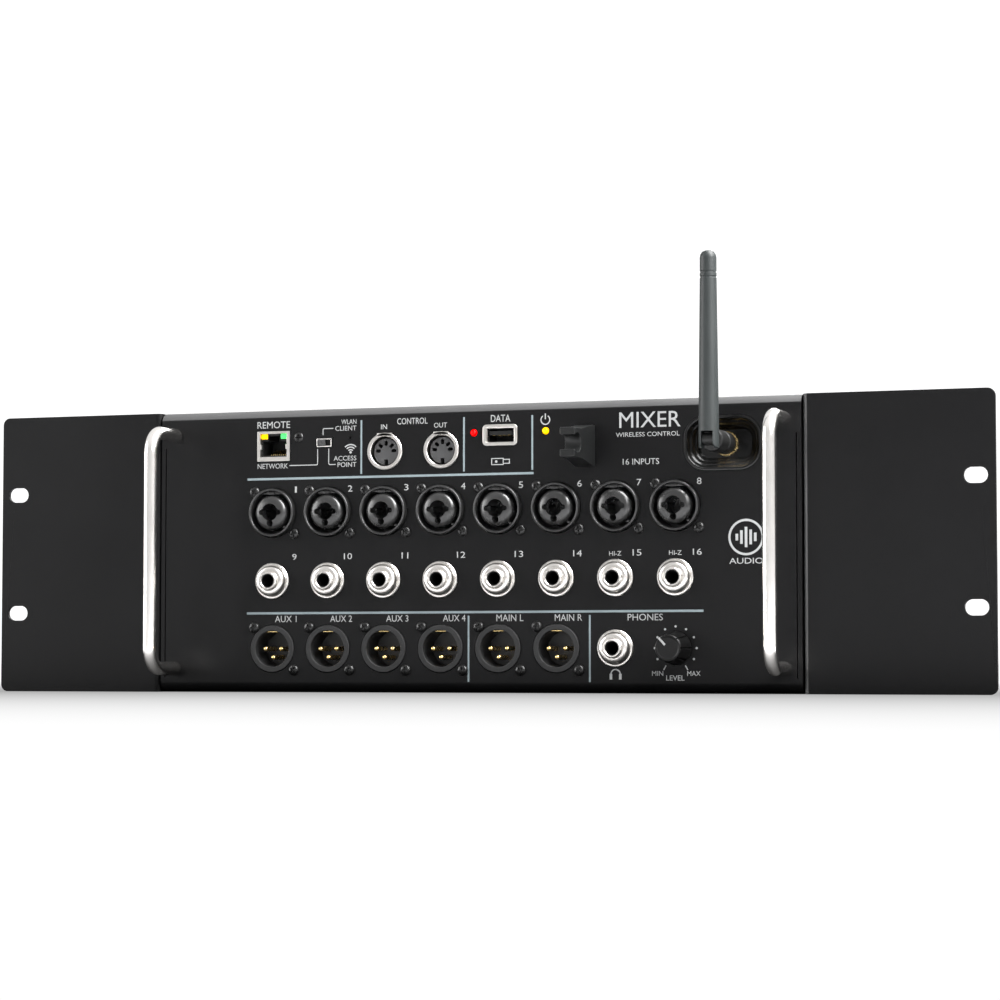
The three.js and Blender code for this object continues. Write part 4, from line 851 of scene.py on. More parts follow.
ring_plastic = moulded(
    "grey_ring_plastic", (0.008, 0.0082, 0.0084), (0.012, 0.012, 0.0124), 0.55, 0.00006, 0.35
)
cup_plastic = moulded("cup_plastic", (0.008, 0.008, 0.0085), (0.014, 0.014, 0.0145), 0.42, 0.00004)
gold = plated("gold_plate", 700, 3000, 0.06, (0.78, 0.54, 0.2), (0.95, 0.74, 0.36), 0.2, 0.14)
output_face = at_face("aux_output_1")


def make_output_contacts():
    """The three pins and the earth contact above them."""
    pins = [turned("pin", pin_profile, output_face + place, 20) for place in pin_places]
    earth = block_at(output_face, "earth_contact", (-2.6, 0.35, 7.75), (2.6, 5, 8.3))
    change(earth, "BEVEL", width=0.2 * mm, segments=2)
    return join("output_contacts_1", [*pins, earth])


output_ring = turned("output_ring_1", output_ring_profile, output_face)
output_cup = turned("output_cup_1", output_cup_profile, output_face)
for first, stem, finish, slot in (
    (output_ring, "output_ring_", ring_plastic, "grey_plastic"),
    (output_cup, "output_cup_", cup_plastic, "black_plastic"),
    (make_output_contacts(), "output_contacts_", gold, "gold"),
):
    smooth(first, 30)
    fit_row(first, stem, OUTPUT_NODES, finish, slot)

# ---- Network socket ----
# A plated steel shield round a black insert with the plug's keyed mouth. Two lamps fill its
# upper corners and eight gold springs lie in the mouth, under the latch's notch.

network_face = at_face("network_socket")


def make_network_shield():
    shield = block_at(network_face, "network_shield", (-8.3, -0.4, -7.05), (8.3, 14, 7.05))
    cut(shield, block_at(network_face, "mouth", (-6.75, -1, -5.0), (6.75, 13.5, -1.4)))
    cut(shield, block_at(network_face, "mouth", (-6.1, -1, -1.5), (6.1, 13.5, 0.9)))
    cut(shield, block_at(network_face, "mouth", (-6.75, -1, 0.8), (6.75, 13.5, 5.9)))
    ease(shield, 0.25 * mm)
    return shield


def make_network_insert():
    insert = block_at(network_face, "network_insert", (-6.7, 0.9, -4.95), (6.7, 13.4, 5.85))
    cut(insert, block_at(network_face, "mouth", (-5.95, 0, -4.3), (5.95, 12.5, 2.6)))
    cut(insert, block_at(network_face, "mouth", (-3.0, 0, 2.5), (3.0, 12.5, 5.0)))
    ease(insert, 0.15 * mm)
    return insert


def make_network_springs():
    springs = []
    for number in range(8):
        x = (number - 3.5) * 1.02
        spring = block_at(network_face, "spring", (x - 0.2, 5.5, -3.9), (x + 0.2, 12.4, -3.5))
        edit(spring, "VERT")
        pick(spring, "verts", lambda corner: corner.co.y > face + 8 * mm)
        bpy.ops.transform.translate(value=(0, 0, 2.6 * mm))
        close_edit()
        springs.append(spring)
    return join("network_springs", springs)


def lit_lens(name, colour, glow):
    """A clear coloured lens with its lamp on."""

    def inputs_of(tree):
        cloud = noise(tree, 900, 2.0)
        return {
            "Base Color": mix_colours(tree, cloud, colour, [part * 0.8 for part in colour]),
            "Roughness": 0.3 + cloud * 0.15,
            "Specular IOR Level": 0.1,
            "Emission Color": (*colour, 1.0),
            "Emission Strength": glow,
        }

    return shader(name, inputs_of)


yellow_lens = lit_lens("yellow_lens", (1.0, 0.5, 0.0), 1.05)
green_lens = lit_lens("green_lens", (0.06, 0.8, 0.12), 1.3)
red_lens = lit_lens("red_lens", (1.0, 0.0, 0.0), 1.3)

fit(make_network_shield(), bright_nickel, "nickel", "case", "network_socket")
fit(make_network_insert(), dark_plastic, "black_plastic", "case", "network_socket")
fit(make_network_springs(), gold, "gold", "case", "network_socket")
for side, finish in ((-1, yellow_lens), (1, green_lens)):
    near, far = sorted((side * 3.4, side * 6.6))
    name = "network_lamp_left" if side < 0 else "network_lamp_right"
    lamp = block_at(network_face, name, (near, 0.4, 3.5), (far, 8, 5.8))
    ease(lamp, 0.2 * mm)
    fit(lamp, finish, "yellow_lens", "case", "network_socket")

# ---- Network screw ----
# One black cross-head screw holds the network socket's bracket to the panel.

head = make_screw(
    "network_screw_head",
    in_mm([(0, -0.75), (1.2, -0.7), (1.9, -0.45), (2.3, 0), (2.3, 0.6), (1.4, 0.6), (1.4, 5), (0, 5)]),
    at_face("network_screw"),
    1.6 * mm,
)
fit(head, screw_black, "black_paint", "case", "network_screw")

# ---- Mode switch ----
# A plated frame round a dark well, and a ribbed moulded slider that goes 3 mm to the right
# in it.

switch_face = at_face("mode_switch_body")
grey_plastic = moulded("grey_plastic", (0.028, 0.028, 0.029), (0.042, 0.042, 0.043), 0.42, 0.00004)


def make_switch_frame():
    frame_piece = block_at(switch_face, "mode_switch_frame", (-3.8, -0.15, -2), (3.8, 3, 2))
    cut(frame_piece, block_at(switch_face, "opening", (-3.35, -1, -1.45), (3.35, 5, 1.45)))
    ease(frame_piece, 0.15 * mm)
    return frame_piece


def make_switch_well():
    well = block_at(switch_face, "mode_switch_well", (-4, 1.6, -2.1), (4, 8, 2.1))
    ease(well, 0.2 * mm)
    return well


def make_slider():
    low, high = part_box("mode_switch_slider")
    slider = block("mode_slider_cap", (low.x, low.y, low.z), (high.x, face + 1.5 * mm, high.z))
    for number in range(4):
        x = low.x + (0.55 + number * 0.77) * mm
        cut(slider, block("groove", (x - 0.14 * mm, low.y - mm, low.z - mm),
                          (x + 0.14 * mm, low.y + 0.35 * mm, high.z + mm)))
    ease(slider, 0.08 * mm)
    return slider


fit(make_switch_frame(), nickel, "nickel", "case", "mode_switch_body")
fit(make_switch_well(), dark_plastic, "black_plastic", "case", "mode_switch_body")
fit(make_slider(), grey_plastic, "grey_plastic", "mode_slider", "mode_switch_slider")

# ---- Reset button ----
# A small black plunger just behind a pinhole in the panel.

reset_low, reset_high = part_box("reset_button")
reset_radius = (reset_high.x - reset_low.x) / 2
reset_length = reset_high.y - reset_low.y
reset_profile = [
    (0, 0),
    (reset_radius * 0.7, 0.05 * mm),
    (reset_radius, 0.25 * mm),
    (reset_radius, reset_length),
    (0, reset_length),
]
reset_middle = middle_of("reset_button")
plunger = turned("reset_plunger", reset_profile, (reset_middle.x, reset_low.y, reset_middle.z), 24)
smooth(plunger)
fit(plunger, dark_plastic, "black_plastic", "reset_button", "reset_button")

# ---- Control sockets ----
# A five-pin round socket has a bright steel collar with a flat top and a grey moulded core
# with five holes on an arc and a key notch below them.

control_core_profile = in_mm(
    [(0, 1.2), (5.9, 1.2), (6.2, 1.5), (6.2, 9), (6.88, 9), (6.88, 12), (0, 12)]
)


def make_control_collar(place):
    collar = turned("control_collar_1", in_mm(
        [(6.9, 12), (6.9, -0.8), (7.1, -1), (8.35, -1), (8.6, -0.75), (8.6, -0.03), (7.2, -0.03)]
        + [(7.2, 12), (6.9, 12)]
    ), place)
    brow = block_at(place, "brow", (-3.7, -1, 7), (3.7, -0.03, 8.5))
    cut(brow, rod(7.0 * mm, place - Vector((0, 3 * mm, 0)), place + Vector((0, 3 * mm, 0))))
    ease(brow, 0.2 * mm, 2, 60)
    smooth(collar)
    return join("control_collar_1", [collar, brow])


def make_control_core(place):
    core = turned("control_core_1", control_core_profile, place)
    for degrees in (-85, -45, 0, 45, 85):
        angle = math.radians(degrees)
        aim = Vector((math.sin(angle), 0, math.cos(angle)))
        for reach in (3.5, 4.3):
            spot = place + aim * reach * mm
            cut(core, rod(0.85 * mm, spot, spot + Vector((0, 8 * mm, 0)), "Y", 20))
    cut(core, block_at(place, "notch", (-1, 0, -7), (1, 9, -3.7)))
    ease(core, 0.15 * mm, 2, 50)
    return core


control_face = at_face("control_socket_in")
collar, core = make_control_collar(control_face), make_control_core(control_face)
fit_row(collar, "control_collar_", CONTROL_NODES, bright_nickel, "nickel")
fit_row(core, "control_core_", CONTROL_NODES, grey_plastic, "grey_plastic")

# ---- Data port ----
# A bright bezel with round corners, a plated shell behind it, and the contact tongue in the upper
# half of its mouth. Deeper in, a dark lining stands in as painted shade.

data_face = at_face("data_port")


def data_box(half_width, half_height, corner, low_y, high_y, shift=0.0):
    """A rounded box on the port's middle, with sizes in mm."""
    low = (data_face.x - half_width * mm, data_face.z + (shift - half_height) * mm)
    high = (data_face.x + half_width * mm, data_face.z + (shift + half_height) * mm)
    box = rounded_window(low, high, corner * mm, 5)
    middle, depth = (low_y + high_y) / 2 * mm, (high_y - low_y) / 6
    spread = Matrix.Translation((0, face + middle, 0)) @ Matrix.Scale(depth, 4, (0, 1, 0))
    box.data.transform(spread @ Matrix.Translation((0, -face - 2 * mm, 0)))
    return box


def make_data_frame(name, outer, inner, edge, segments=2):
    """A rounded box with a rounded opening, its edges eased."""
    frame_piece = data_box(*outer)
    frame_piece.name = name
    cut(frame_piece, data_box(*inner))
    ease(frame_piece, edge * mm, segments, 50)
    return frame_piece


def make_data_tongue():
    tongue = data_box(5.6, 0.95, 0.2, 0.9, 12.7, 1.0)
    tongue.name = "data_tongue"
    ease(tongue, 0.15 * mm, 2, 50)
    return tongue


def make_data_contacts():
    contacts = []
    for number in range(4):
        x = (number - 1.5) * 2.4
        contacts.append(block_at(data_face, "contact", (x - 0.5, 1.6, -0.05), (x + 0.5, 10, 0.12)))
    return join("data_contacts", contacts)


data_bezel = make_data_frame(
    "data_bezel", (8.4, 4.85, 1.9, -0.9, 0.5), (6.8, 3.45, 0.7, -3, 3), 0.25, 3
)
data_shell = make_data_frame("data_shell", (7.2, 3.85, 0.6, 0.5, 2.5), (6.5, 3.2, 0.4, -1, 4), 0.1)
# Painted shade: a dark lining fills the mouth behind the plated shell, standing for the shade deep in the
# port.
data_mouth_painted_shade = make_data_frame(
    "data_mouth_painted_shade", (7.2, 3.85, 0.6, 2.5, 13), (6.2, 2.9, 0.4, 0, 12.6), 0.1
)
fit(data_bezel, bright_nickel, "nickel", "case", "data_port")
fit(data_shell, nickel, "nickel", "case", "data_port")
fit(data_mouth_painted_shade, dark_plastic, "black_plastic", "case", "data_port")
fit(make_data_tongue(), dark_plastic, "black_plastic", "case", "data_port")
fit(make_data_contacts(), gold, "gold", "case", "data_port")

# ---- Lamps ----
# A red lamp for data and a yellow one for power, each a small domed lens in a hole.

lamp_profile = in_mm(
    [(0, -1.0), (0.7, -0.9), (1.25, -0.5), (1.5, 0.1), (1.55, 0.6), (1.55, 5), (0, 5)]
)
for node, finish, slot in zip(LAMP_NODES, (red_lens, yellow_lens), ("red_lens", "yellow_lens")):
    lens = turned(node + "_lens", lamp_profile, at_face(node), 32)
    smooth(lens)
    fit(lens, finish, slot, "case", node)

# ---- Antenna's well ----
# A glossy black plastic tub let into the panel's face, its walls going down in three rounded
# steps to a flat floor, on which the antenna's socket stands.

WELL_STEPS = 3
well_step = 2.38 * mm


def well_inputs(tree):
    facing = add_node(tree, "NewGeometry", {}, {})["Normal"]
    # Painted highlight: faces that turn upwards get a paler base colour, standing for the light they catch
    # from above.
    painted_highlight_upwards = add_node(tree, "SeparateXYZ", {}, {"Vector": facing})["Z"].ramp(0.1, 0.75)
    scuffs = noise(tree, 500, 5.0)
    height = {"Height": noise(tree, 2400), "Strength": 0.1, "Distance": 0.00002}
    return {
        "Base Color": mix_colours(tree, painted_highlight_upwards, (0.0012, 0.0012, 0.0012), (0.014, 0.014, 0.014)),
        "Roughness": 0.2 + scuffs * 0.08,
        "Specular IOR Level": 0.34,
        "Normal": add_node(tree, "Bump", {}, height)["Normal"],
    }


def make_well():
    low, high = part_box("antenna_well")
    tub = rounded_window((low.x, low.z), (high.x, high.z), 10 * mm, 12)
    tub.name = "antenna_well_tub"
    stretch = Matrix.Translation((0, face, 0)) @ Matrix.Scale(1.5, 4, (0, 1, 0))
    tub.data.transform(stretch @ Matrix.Translation((0, mm - face, 0)))
    edit(tub, "FACE")
    pick(tub, "faces", lambda side: side.normal.y < -0.9)
    bpy.ops.mesh.inset(thickness=0.4 * mm, depth=0.15 * mm)
    bpy.ops.mesh.inset(thickness=0.5 * mm, depth=0)
    for share in (0.074, 0.185, 0.241, 0.241, 0.185, 0.074) * WELL_STEPS:
        bpy.ops.mesh.inset(thickness=0.29 * mm, depth=-well_step * share)
    close_edit()
    connector = at_face("antenna_connector")
    cut(tub, rod(3.3 * mm, connector, connector + Vector((0, 12 * mm, 0))))
    smooth(tub, 40)
    return tub


well_plastic = shader("well_plastic", well_inputs)
fit(make_well(), well_plastic, "black_plastic", "case", "antenna_well")

# ---- Antenna's connector ----
# A gold-plated threaded barrel and its flange, on the well's floor.

antenna_face = at_face("antenna_connector")
barrel_end, barrel_start = [(end.y - face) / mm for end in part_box("antenna_connector")]


def make_connector():
    thread = []
    depth = barrel_end + 0.6
    while depth < 4.6:
        thread += [(3.1, depth), (2.85, depth + 0.25), (3.1, depth + 0.5)]
        depth += 0.5
    profile = [(0, barrel_end), (2.8, barrel_end)] + thread
    profile += [(3.1, 5.2), (5.3, 5.3), (5.6, 5.6), (5.6, 6.9), (3.1, 7.0), (3.1, barrel_start)]
    connector = turned("antenna_connector_barrel", in_mm(profile + [(0, barrel_start)]), antenna_face)
    smooth(connector)
    return connector


fit(make_connector(), gold, "gold", "case", "antenna_connector")

# ---- Antenna's sleeve and hinge pin ----
# The moulded sleeve turns on the connector. Its knuckle carries the fork on a steel pin.

hinge = antenna_face - Vector((0, 23 * mm, 0))
sleeve_profile = in_mm(
    [(0, -18.3), (3.9, -18.3), (4.7, -18.0), (5.15, -17.3), (5.15, -6.4), (4.9, -6.2)]
    + [(4.9, -5.6), (5.15, -5.4), (5.15, 4.1), (4.8, 4.6), (3.6, 4.6), (3.6, -3.2), (0, -3.2)]
)
antenna_black = moulded("antenna_black", grey(0.003), grey(0.006), 0.4, 0.00005, 0.3)


def weld(piece, other):
    change(piece, "BOOLEAN", operation="UNION", solver="EXACT", object=other)
    bpy.data.objects.remove(other)


def make_sleeve():
    sleeve = turned("antenna_sleeve_body", sleeve_profile, antenna_face)
    neck = block_at(hinge, "neck", (-2.35, 0, -2.65), (2.35, 5.5, 2.65))
    knuckle = rod(2.65 * mm, hinge - Vector((2.35 * mm, 0, 0)), hinge + Vector((2.35 * mm, 0, 0)), "X")
    weld(neck, knuckle)
    weld(sleeve, neck)
    ease(sleeve, 0.2 * mm, 2, 50)
    return sleeve


def make_hinge_pin():
    profile = [(0, -4.05), (0.55, -4.0), (0.88, -3.75), (0.88, 3.75), (0.55, 4.0), (0, 4.05)]
    pin = turned("antenna_pin", in_mm(profile), hinge, 24, (1, 0, 0), (0, 0, 1))
    smooth(pin)
    return pin


fit(make_sleeve(), antenna_black, "black_plastic", "antenna_sleeve", "antenna_swivel")
fit(make_hinge_pin(), nickel, "bare_steel", "antenna_sleeve", "antenna_hinge_pin")

# ---- Antenna's mast ----
# A tapered grey-green moulding with two fine rings near its tip and a fork at its foot.

mast_profile = in_mm(
    [(0, 4.5), (4.45, 4.5), (4.42, 12), (3.73, 70.6), (3.5, 70.8), (3.5, 71.4), (3.72, 71.6)]
    + [(3.72, 72.8), (3.5, 73.0), (3.5, 73.6), (3.71, 73.8), (3.7, 79.6), (3.45, 81.0)]
    + [(2.7, 82.2), (1.4, 82.8), (0, 82.9)]
)
antenna_grey = moulded("antenna_grey", (0.012, 0.0145, 0.0145), (0.017, 0.02, 0.02), 0.42, 0.00006, 0.3)


def make_mast():
    fork = rod(4.5 * mm, hinge - Vector((0, 0, 4.15 * mm)), hinge + Vector((0, 0, 9 * mm)), "Z")
    fork.name = "antenna_mast_body"
    foot = rod(4.15 * mm, hinge - Vector((5 * mm, 0, 0)), hinge + Vector((5 * mm, 0, 0)), "X")
    top = block_at(hinge, "top", (-5, -5, 0), (5, 5, 10))
    weld(foot, top)
    change(fork, "BOOLEAN", operation="INTERSECT", solver="EXACT", object=foot)
    bpy.data.objects.remove(foot)
    cut(fork, block_at(hinge, "slot", (-2.7, -6, -6), (2.7, 6, 3.3)))
    weld(fork, turned("mast", mast_profile, hinge, 48, (0, 0, 1)))
    ease(fork, 0.15 * mm, 2, 60, 30)
    return fork


fit(make_mast(), antenna_grey, "antenna_plastic", "antenna_mast", "antenna_mast")

# ---- Parking clip ----
# A black moulded clip on the panel's face, open at its front, that holds the folded mast.

clip_plastic = moulded("clip_plastic", (0.003, 0.0033, 0.0033), (0.006, 0.0063, 0.0063), 0.3, 0.00005, 0.32)
fit(dressed_copy("antenna_clip_body", "antenna_clip", 0.35 * mm), clip_plastic, "black_plastic",
    "case", "antenna_clip")

# ---- Level control ----
# A tapered knob with eight flutes and a white pointer, on a steel shaft. The control's bushing
# and nut show in the gap behind it.

knob_face = at_face("level_shaft")
knob_profile = in_mm(
    [(0, -12.8), (4.6, -12.8), (5.1, -13.0), (5.7, -12.9), (6.0, -12.5), (7.5, -2.4), (7.6, -1.9)]
    + [(7.55, -1.25), (7.0, -1.2), (5.2, -1.2), (5.2, -3.6), (0, -3.6)]
)
KNOB_FLUTES = 8
KNOB_LINES = 120
knob_plastic = moulded("knob_plastic", grey(0.0015), grey(0.003), 0.34, 0.00004, 0.22)


def is_groove(corner):
    """A few lines of corners down the knob's side, between its two rims."""
    side = corner.co - knob_face
    line = round(math.atan2(side.z, side.x) / (2 * math.pi / KNOB_LINES))
    far = math.hypot(side.x, side.z)
    flute = line % (KNOB_LINES // KNOB_FLUTES) == 0
    return flute and far > 5.8 * mm and -12.7 * mm < side.y < -1.5 * mm


def make_knob():
    knob = turned("level_knob_cap", knob_profile, knob_face, KNOB_LINES)
    edit(knob, "VERT")
    pick(knob, "verts", is_groove)
    bpy.ops.transform.resize(value=(0.88, 1, 0.88), center_override=knob_face)
    close_edit()
    smooth(knob, 20)
    return knob


def make_pointer():
    front = block_at(knob_face, "level_knob_pointer", (-0.45, -13.03, 1.9), (0.45, -12.7, 5.9))
    side = block_at(knob_face, "side", (-0.45, -12.9, 5.6), (0.45, -2.2, 6.05))
    edit(side, "VERT")
    pick(side, "verts", lambda corner: corner.co.y > knob_face.y - 6 * mm)
    bpy.ops.transform.translate(value=(0, 0, 1.5 * mm))
    close_edit()
    pointer = join("level_knob_pointer", [front, side])
    turn_about(pointer, knob_face, math.radians(-43))
    return pointer


def ink_inputs(dark, light):
    def inputs_of(tree):
        speckle = noise(tree, 1800, 3.0)
        return {
            "Base Color": mix_colours(tree, speckle, dark, light),
            "Roughness": 0.5 + speckle * 0.2,
        }

    return inputs_of


word_ink = shader("word_ink", ink_inputs((0.24, 0.245, 0.245), (0.32, 0.325, 0.325)))
fit(make_knob(), knob_plastic, "black_plastic", "level_knob", "level_knob")
fit(make_pointer(), word_ink, "legend_ink", "level_knob", "level_knob")

# ---- Boards, heat sink and other inner pieces ----
# These keep the frame's shapes and take finishes of their own: green lacquered board with
# faint copper lines, and brushed or plated steel.


def board_inputs(tree):
    place = add_node(tree, "TexCoord", {}, {})["Object"]
    cells = add_node(tree, "TexVoronoi", {}, {"Vector": place, "Scale": 220})["Distance"]
    lines = add_node(tree, "TexBrick", {}, {"Vector": place, "Scale": 90})["Fac"]
    copper = (cells.ramp(0.1, 0.16, 1.0, 0.0) + lines * 0.4).ramp(0.2, 0.9)
    height = {"Height": copper, "Strength": 0.3, "Distance": 0.00004}
    return {
        "Base Color": mix_colours(tree, copper, (0.008, 0.05, 0.02), (0.03, 0.13, 0.05)),
        "Roughness": 0.35 + noise(tree, 200) * 0.15,
        "Normal": add_node(tree, "Bump", {}, height)["Normal"],
    }


def steel_inputs(tree):
    place = add_node(tree, "TexCoord", {}, {})["Object"]
    stretch = add_node(tree, "Mapping", {}, {"Vector": place, "Scale": (60, 1800, 1800)})["Vector"]
    brushing = add_node(tree, "TexNoise", {}, {"Vector": stretch, "Scale": 1.0})["Fac"]
    height = {"Height": brushing, "Strength": 0.15, "Distance": 0.00003}
    return {
        "Base Color": mix_colours(tree, noise(tree, 60, 3.0), (0.5, 0.5, 0.49), (0.62, 0.61, 0.6)),
        "Metallic": 1.0,
        "Roughness": 0.32 + brushing * 0.15,
        "Normal": add_node(tree, "Bump", {}, height)["Normal"],
    }


board_lacquer = shader("board_lacquer", board_inputs)
bare_steel = shader("bare_steel", steel_inputs)


def finish_node(node, material):
    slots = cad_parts[node].data.materials
    for number in range(len(slots)):
        slots[number] = material


for node in ("main_board", "power_supply_board", "wireless_module"):
    finish_node(node, board_lacquer)
for node in ("heat_sink", "level_potentiometer", "level_shaft"):
    finish_node(node, bare_steel)
for number in range(1, 5):
    finish_node("handle_screw_%d" % number, bare_steel)

# ---- Mains inlet ----
# A black moulded inlet on the rear wall: a flange, a keyed mouth with two of its corners cut
# off, and three flat plated blades.

rear_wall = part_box("chassis_tray")[1].y
inlet_place = Vector((middle_of("mains_inlet").x, rear_wall, middle_of("mains_inlet").z))


def cut_corners(piece, width, wanted):
    edit(piece, "EDGE")
    pick(piece, "edges", lambda edge: abs(edge.verts[0].co.y - edge.verts[1].co.y) > mm
         and all(wanted(corner.co) for corner in edge.verts))
    bpy.ops.mesh.bevel(offset=width, segments=1, affect="EDGES")
    close_edit()


def make_inlet():
    inlet = block_at(inlet_place, "mains_inlet_body", (-15.5, 0.05, -12.5), (15.5, 2.8, 12.5))
    cut_corners(inlet, 3 * mm, lambda corner: True)
    inside = block_at(inlet_place, "inside", (-13.4, -20, -9.6), (13.4, 1, 9.6))
    weld(inlet, inside)
    mouth = block_at(inlet_place, "mouth", (-12.1, -16, -8.3), (12.1, 5, 8.3))
    cut_corners(mouth, 4 * mm, lambda corner: corner.z > inlet_place.z)
    cut(inlet, mouth)
    ease(inlet, 0.35 * mm, 2, 40)
    return inlet


def make_inlet_blades():
    blades = []
    for x, z in ((-7, -2), (7, -2), (0, 2)):
        blades.append(block_at(inlet_place, "blade", (x - 1, -17, z - 2), (x + 1, -2.6, z + 2)))
    blade = join("mains_inlet_blades", blades)
    ease(blade, 0.4 * mm, 2, 50)
    return blade


fit(make_inlet(), clip_plastic, "black_plastic", "case", "mains_inlet")
fit(make_inlet_blades(), nickel, "bare_steel", "case", "mains_inlet")

# ---- Power switch ----
# A black snap-in frame on the rear wall and a curved rocker that tips 24 degrees in it.

fit(dressed_copy("power_switch_bezel", "power_switch_frame", 0.35 * mm), clip_plastic,
    "black_plastic", "case", "power_switch_frame")
fit(dressed_copy("power_rocker_cap", "power_rocker", 0.4 * mm), glossy_plastic, "black_plastic",
    "power_rocker", "power_rocker")

# ---- Printed legend ----
# Screen-printed words, numbers and signs in pale ink and blue-grey lines, 0.03 mm thick on
# the panel's face. The words are generic.

ink_top = face - 0.03 * mm
ink_back = face + 0.01 * mm
line_ink = shader("line_ink", ink_inputs((0.14, 0.175, 0.185), (0.18, 0.22, 0.235)))


def word(text, low, high):
    """A word stretched to fill its place, given in mm as (x, z) corners."""
    bpy.ops.object.select_all(action="DESELECT")
    bpy.ops.object.text_add()
    letters = bpy.context.object
    letters.data.body = text
    letters.data.resolution_u = 3
    letters.data.extrude = 0.01
    bpy.ops.object.convert(target="MESH")
    letters = bpy.context.object
    spots = [corner.co for corner in letters.data.vertices]
    start = Vector(min(spot[axis] for spot in spots) for axis in range(3))
    size = Vector(max(spot[axis] for spot in spots) for axis in range(3)) - start
    wide, tall = (high[0] - low[0]) * mm / size.x, (high[1] - low[1]) * mm / size.y
    stretch = Matrix.Diagonal((wide, tall, (ink_back - ink_top) / size.z, 1))
    stand = Matrix.Translation((low[0] * mm, ink_back, low[1] * mm)) @ Matrix.Rotation(
        math.pi / 2, 4, "X"
    )
    letters.data.transform(stand @ stretch @ Matrix.Translation(-start))
    return letters


def stroke(low, high):
    """A printed bar between two corners, given in mm as (x, z)."""
    return block("stroke", (low[0] * mm, ink_top, low[1] * mm), (high[0] * mm, ink_back, high[1] * mm))


def arc(middle, radius, width, start, end):
    """A printed arc, given in mm, between two angles in degrees from the right."""
    bpy.ops.object.select_all(action="DESELECT")
    place = Vector((middle[0] * mm, (ink_top + ink_back) / 2, middle[1] * mm))
    inner, outer = radius - width / 2, radius + width / 2
    half_ink = (ink_back - ink_top) / mm / 2
    bar = block_at(place, "arc", (inner, -half_ink, -0.01), (outer, half_ink, 0.01))
    turn_about(bar, place, -math.radians(start))
    aim = Vector((math.cos(math.radians(start + 90)), 0, math.sin(math.radians(start + 90))))
    edit(bar, "FACE")
    pick(bar, "faces", lambda side: side.normal.dot(aim) > 0.9)
    steps = max(4, round((end - start) / 9))
    sweep = math.radians(end - start)
    bpy.ops.mesh.spin(steps=steps, angle=sweep, center=place, axis=(0, 1, 0))
    close_shell()
    return bar


def dot(middle, radius):
    place = Vector((middle[0] * mm, 0, middle[1] * mm))
    ends = place + Vector((0, ink_top, 0)), place + Vector((0, ink_back, 0))
    return rod(radius * mm, *ends, "Y", 20)


def column(number):
    """The x of a column of sockets, in mm."""
    return middle_of("combo_socket_%d" % number).x / mm


def row_words():
    inks = []
    for number in range(1, 9):
        right = column(number) + 12.2
        digit = 1.0 if number == 1 else 2.1
        inks.append(word(str(number), (right - digit, 93.3), (right, 96.2)))
        digit = {1: 2.2, 3: 3.3}.get(number, 4.1)
        inks.append(word(str(number + 8), (right - digit, 61.8), (right, 64.6)))
    labels = ["AUX 1", "AUX 2", "AUX 3", "AUX 4", "MAIN L", "MAIN R"]
    for number, label in enumerate(labels, 1):
        right = column(number) + 12.3
        wide = 11 if number < 5 else 13
        inks.append(word(label, (right - wide, 32.7), (right, 35.7)))
    return inks


def top_words():
    return [
        word("REMOTE", (-106.1, 123.8), (-89.4, 127.0)),
        word("NETWORK", (-105.9, 104.8), (-90.4, 107.2)),
        word("WLAN", (-63.4, 124.8), (-55.8, 127.0)),
        word("CLIENT", (-66.4, 121.8), (-55.8, 124.0)),
        word("ACCESS", (-67.2, 107.8), (-55.8, 110.0)),
        word("POINT", (-65.2, 104.8), (-55.8, 107.0)),
        word("IN", (-43.5, 121.9), (-40.5, 124.2)),
        word("OUT", (-17.2, 121.9), (-10.8, 124.2)),
        word("CONTROL", (-35.4, 123.9), (-20.4, 126.8)),
        word("DATA", (10.6, 123.8), (20.0, 127.0)),
        word("MIXER", (72.0, 119.4), (100.6, 126.4)),
        word("WIRELESS CONTROL", (70.4, 115.3), (100.2, 117.3)),
        word("16 INPUTS", (73.6, 102.7), (90.6, 105.4)),
    ]


def bottom_words():
    return [
        word("HI-Z", (67.1, 61.9), (72.8, 63.9)),
        word("HI-Z", (95.1, 61.9), (100.9, 63.9)),
        word("PHONES", (75.7, 32.7), (92.1, 35.7)),
        word("MIN", (87.0, 8.0), (92.2, 10.1)),
        word("MAX", (103.3, 8.0), (109.4, 10.1)),
        word("LEVEL", (93.6, 5.9), (102.0, 8.2)),
    ]


def switch_leads():
    """Thin lines from the mode switch to its three names."""
    wide = 0.4
    return [
        stroke((-72.8, 120.0), (-72.8 + wide, 122.6)),
        arc((-72.0, 122.4), 0.6, wide, 90, 180),
        stroke((-72.0, 122.8), (-67.4, 122.8 + wide)),
        stroke((-75.5, 107.0), (-75.5 + wide, 113.6)),
        arc((-76.0, 106.8), 0.7, wide, 270, 360),
        stroke((-89.6, 105.9), (-76.0, 105.9 + wide)),
        stroke((-69.9, 107.0), (-69.9 + wide, 113.6)),
        arc((-69.0, 106.8), 0.7, wide, 180, 270),
        stroke((-69.0, 105.9), (-66.2, 105.9 + wide)),
    ]


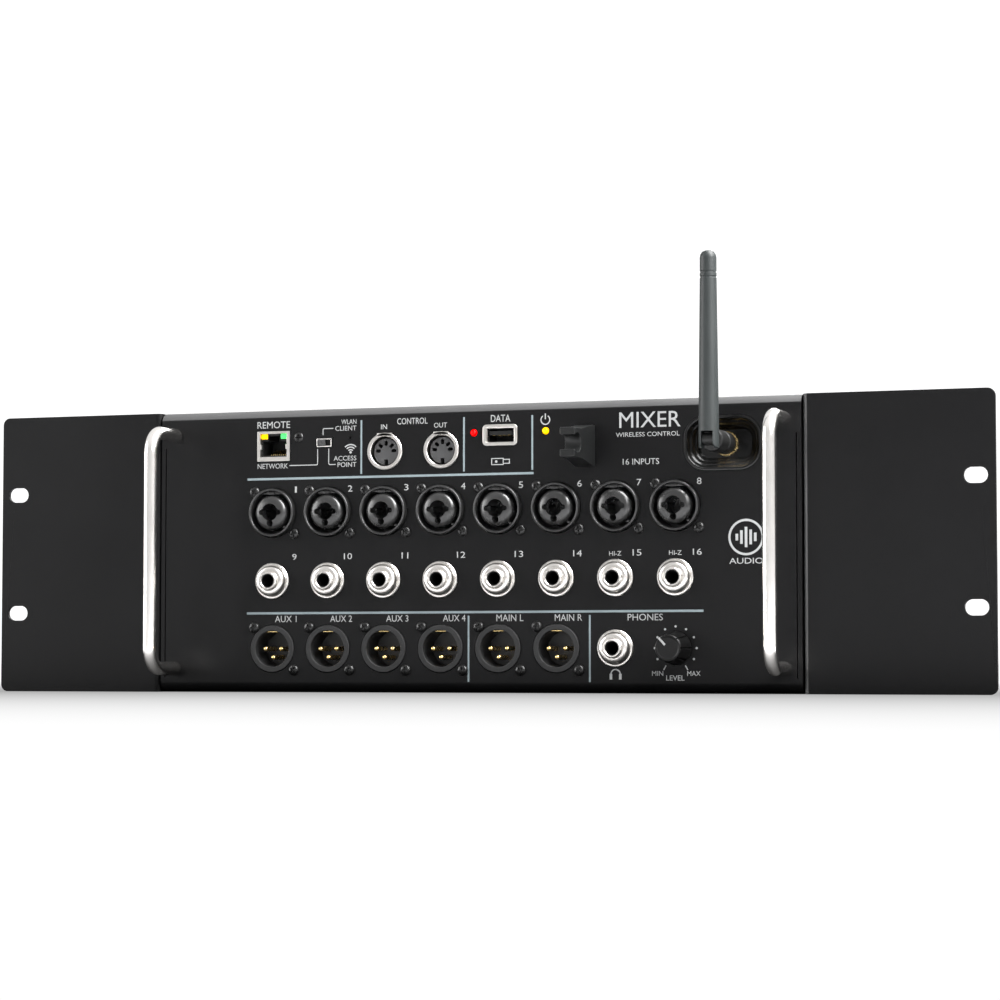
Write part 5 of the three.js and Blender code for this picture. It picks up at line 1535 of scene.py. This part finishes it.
def signs():
    """Radio waves, power, memory stick, headphones and the knob's scale."""
    inks = [arc((-58.7, 111.3), reach, 0.55, 45, 135) for reach in (1.5, 2.7, 3.9)]
    inks.append(dot((-58.7, 111.6), 0.6))
    inks += [arc((36.9, 124.1), 2.1, 0.5, 125, 415), stroke((36.65, 124.3), (37.15, 127.0))]
    inks += [stroke((11.2, 104.0), (16.4, 104.4)), stroke((11.2, 106.8), (16.4, 107.2))]
    inks += [stroke((10.8, 104.0), (11.2, 107.2)), stroke((16.4, 104.0), (16.8, 107.2))]
    inks += [stroke((16.8, 104.5), (19.4, 104.9)), stroke((16.8, 106.3), (19.4, 106.7))]
    inks += [stroke((19.4, 104.5), (19.8, 106.7)), dot((13.2, 105.6), 0.6)]
    inks += [arc((70, 8.6), 2.2, 0.55, 0, 180)]
    inks += [stroke((67.2, 6.3), (68.4, 8.9)), stroke((71.6, 6.3), (72.8, 8.9))]
    x, z = knob_face.x / mm, knob_face.z / mm
    for degrees in range(-120, 121, 30):
        angle = math.radians(degrees)
        inks.append(dot((x + 9.7 * math.sin(angle), z + 9.7 * math.cos(angle)), 0.5))
    for degrees in (-150, 150):
        tick = stroke((x - 0.25, z + 8.9), (x + 0.25, z + 11.2))
        turn_about(tick, knob_face, math.radians(degrees))
        inks.append(tick)
    return inks


def maker_sign():
    """A ring with five level bars, where a maker would put a mark of their own."""
    inks = [arc((130.5, 69.4), 7.6, 1.0, 0, 359.5)]
    for number, height in enumerate((3.0, 6.0, 9.0, 6.6, 3.8)):
        x = 130.5 + (number - 2) * 2.1
        inks.append(stroke((x - 0.6, 69.4 - height / 2), (x + 0.6, 69.4 + height / 2)))
    inks.append(word("AUDIO", (122.8, 57.6), (138.2, 60.2)))
    return inks


def panel_lines():
    lines = []
    for low_x, high_x, z in ((-111.1, 31.2, 99.95), (-111.1, 110.9, 36.9)):
        lines.append(stroke((low_x, z - 0.52), (high_x, z + 0.52)))
    for x in (-53.3, -2.5, 30.6):
        lines.append(stroke((x - 0.42, 101.4), (x + 0.42, 126.4)))
    for x in (-0.2, 57.9):
        lines.append(stroke((x - 0.42, 5.1), (x + 0.42, 35.3)))
    return join("printed_lines", lines)


words = row_words() + top_words() + bottom_words() + switch_leads() + signs() + maker_sign()
fit(join("printed_legend", words), word_ink, "legend_ink", "case")
fit(panel_lines(), line_ink, "legend_ink", "case")
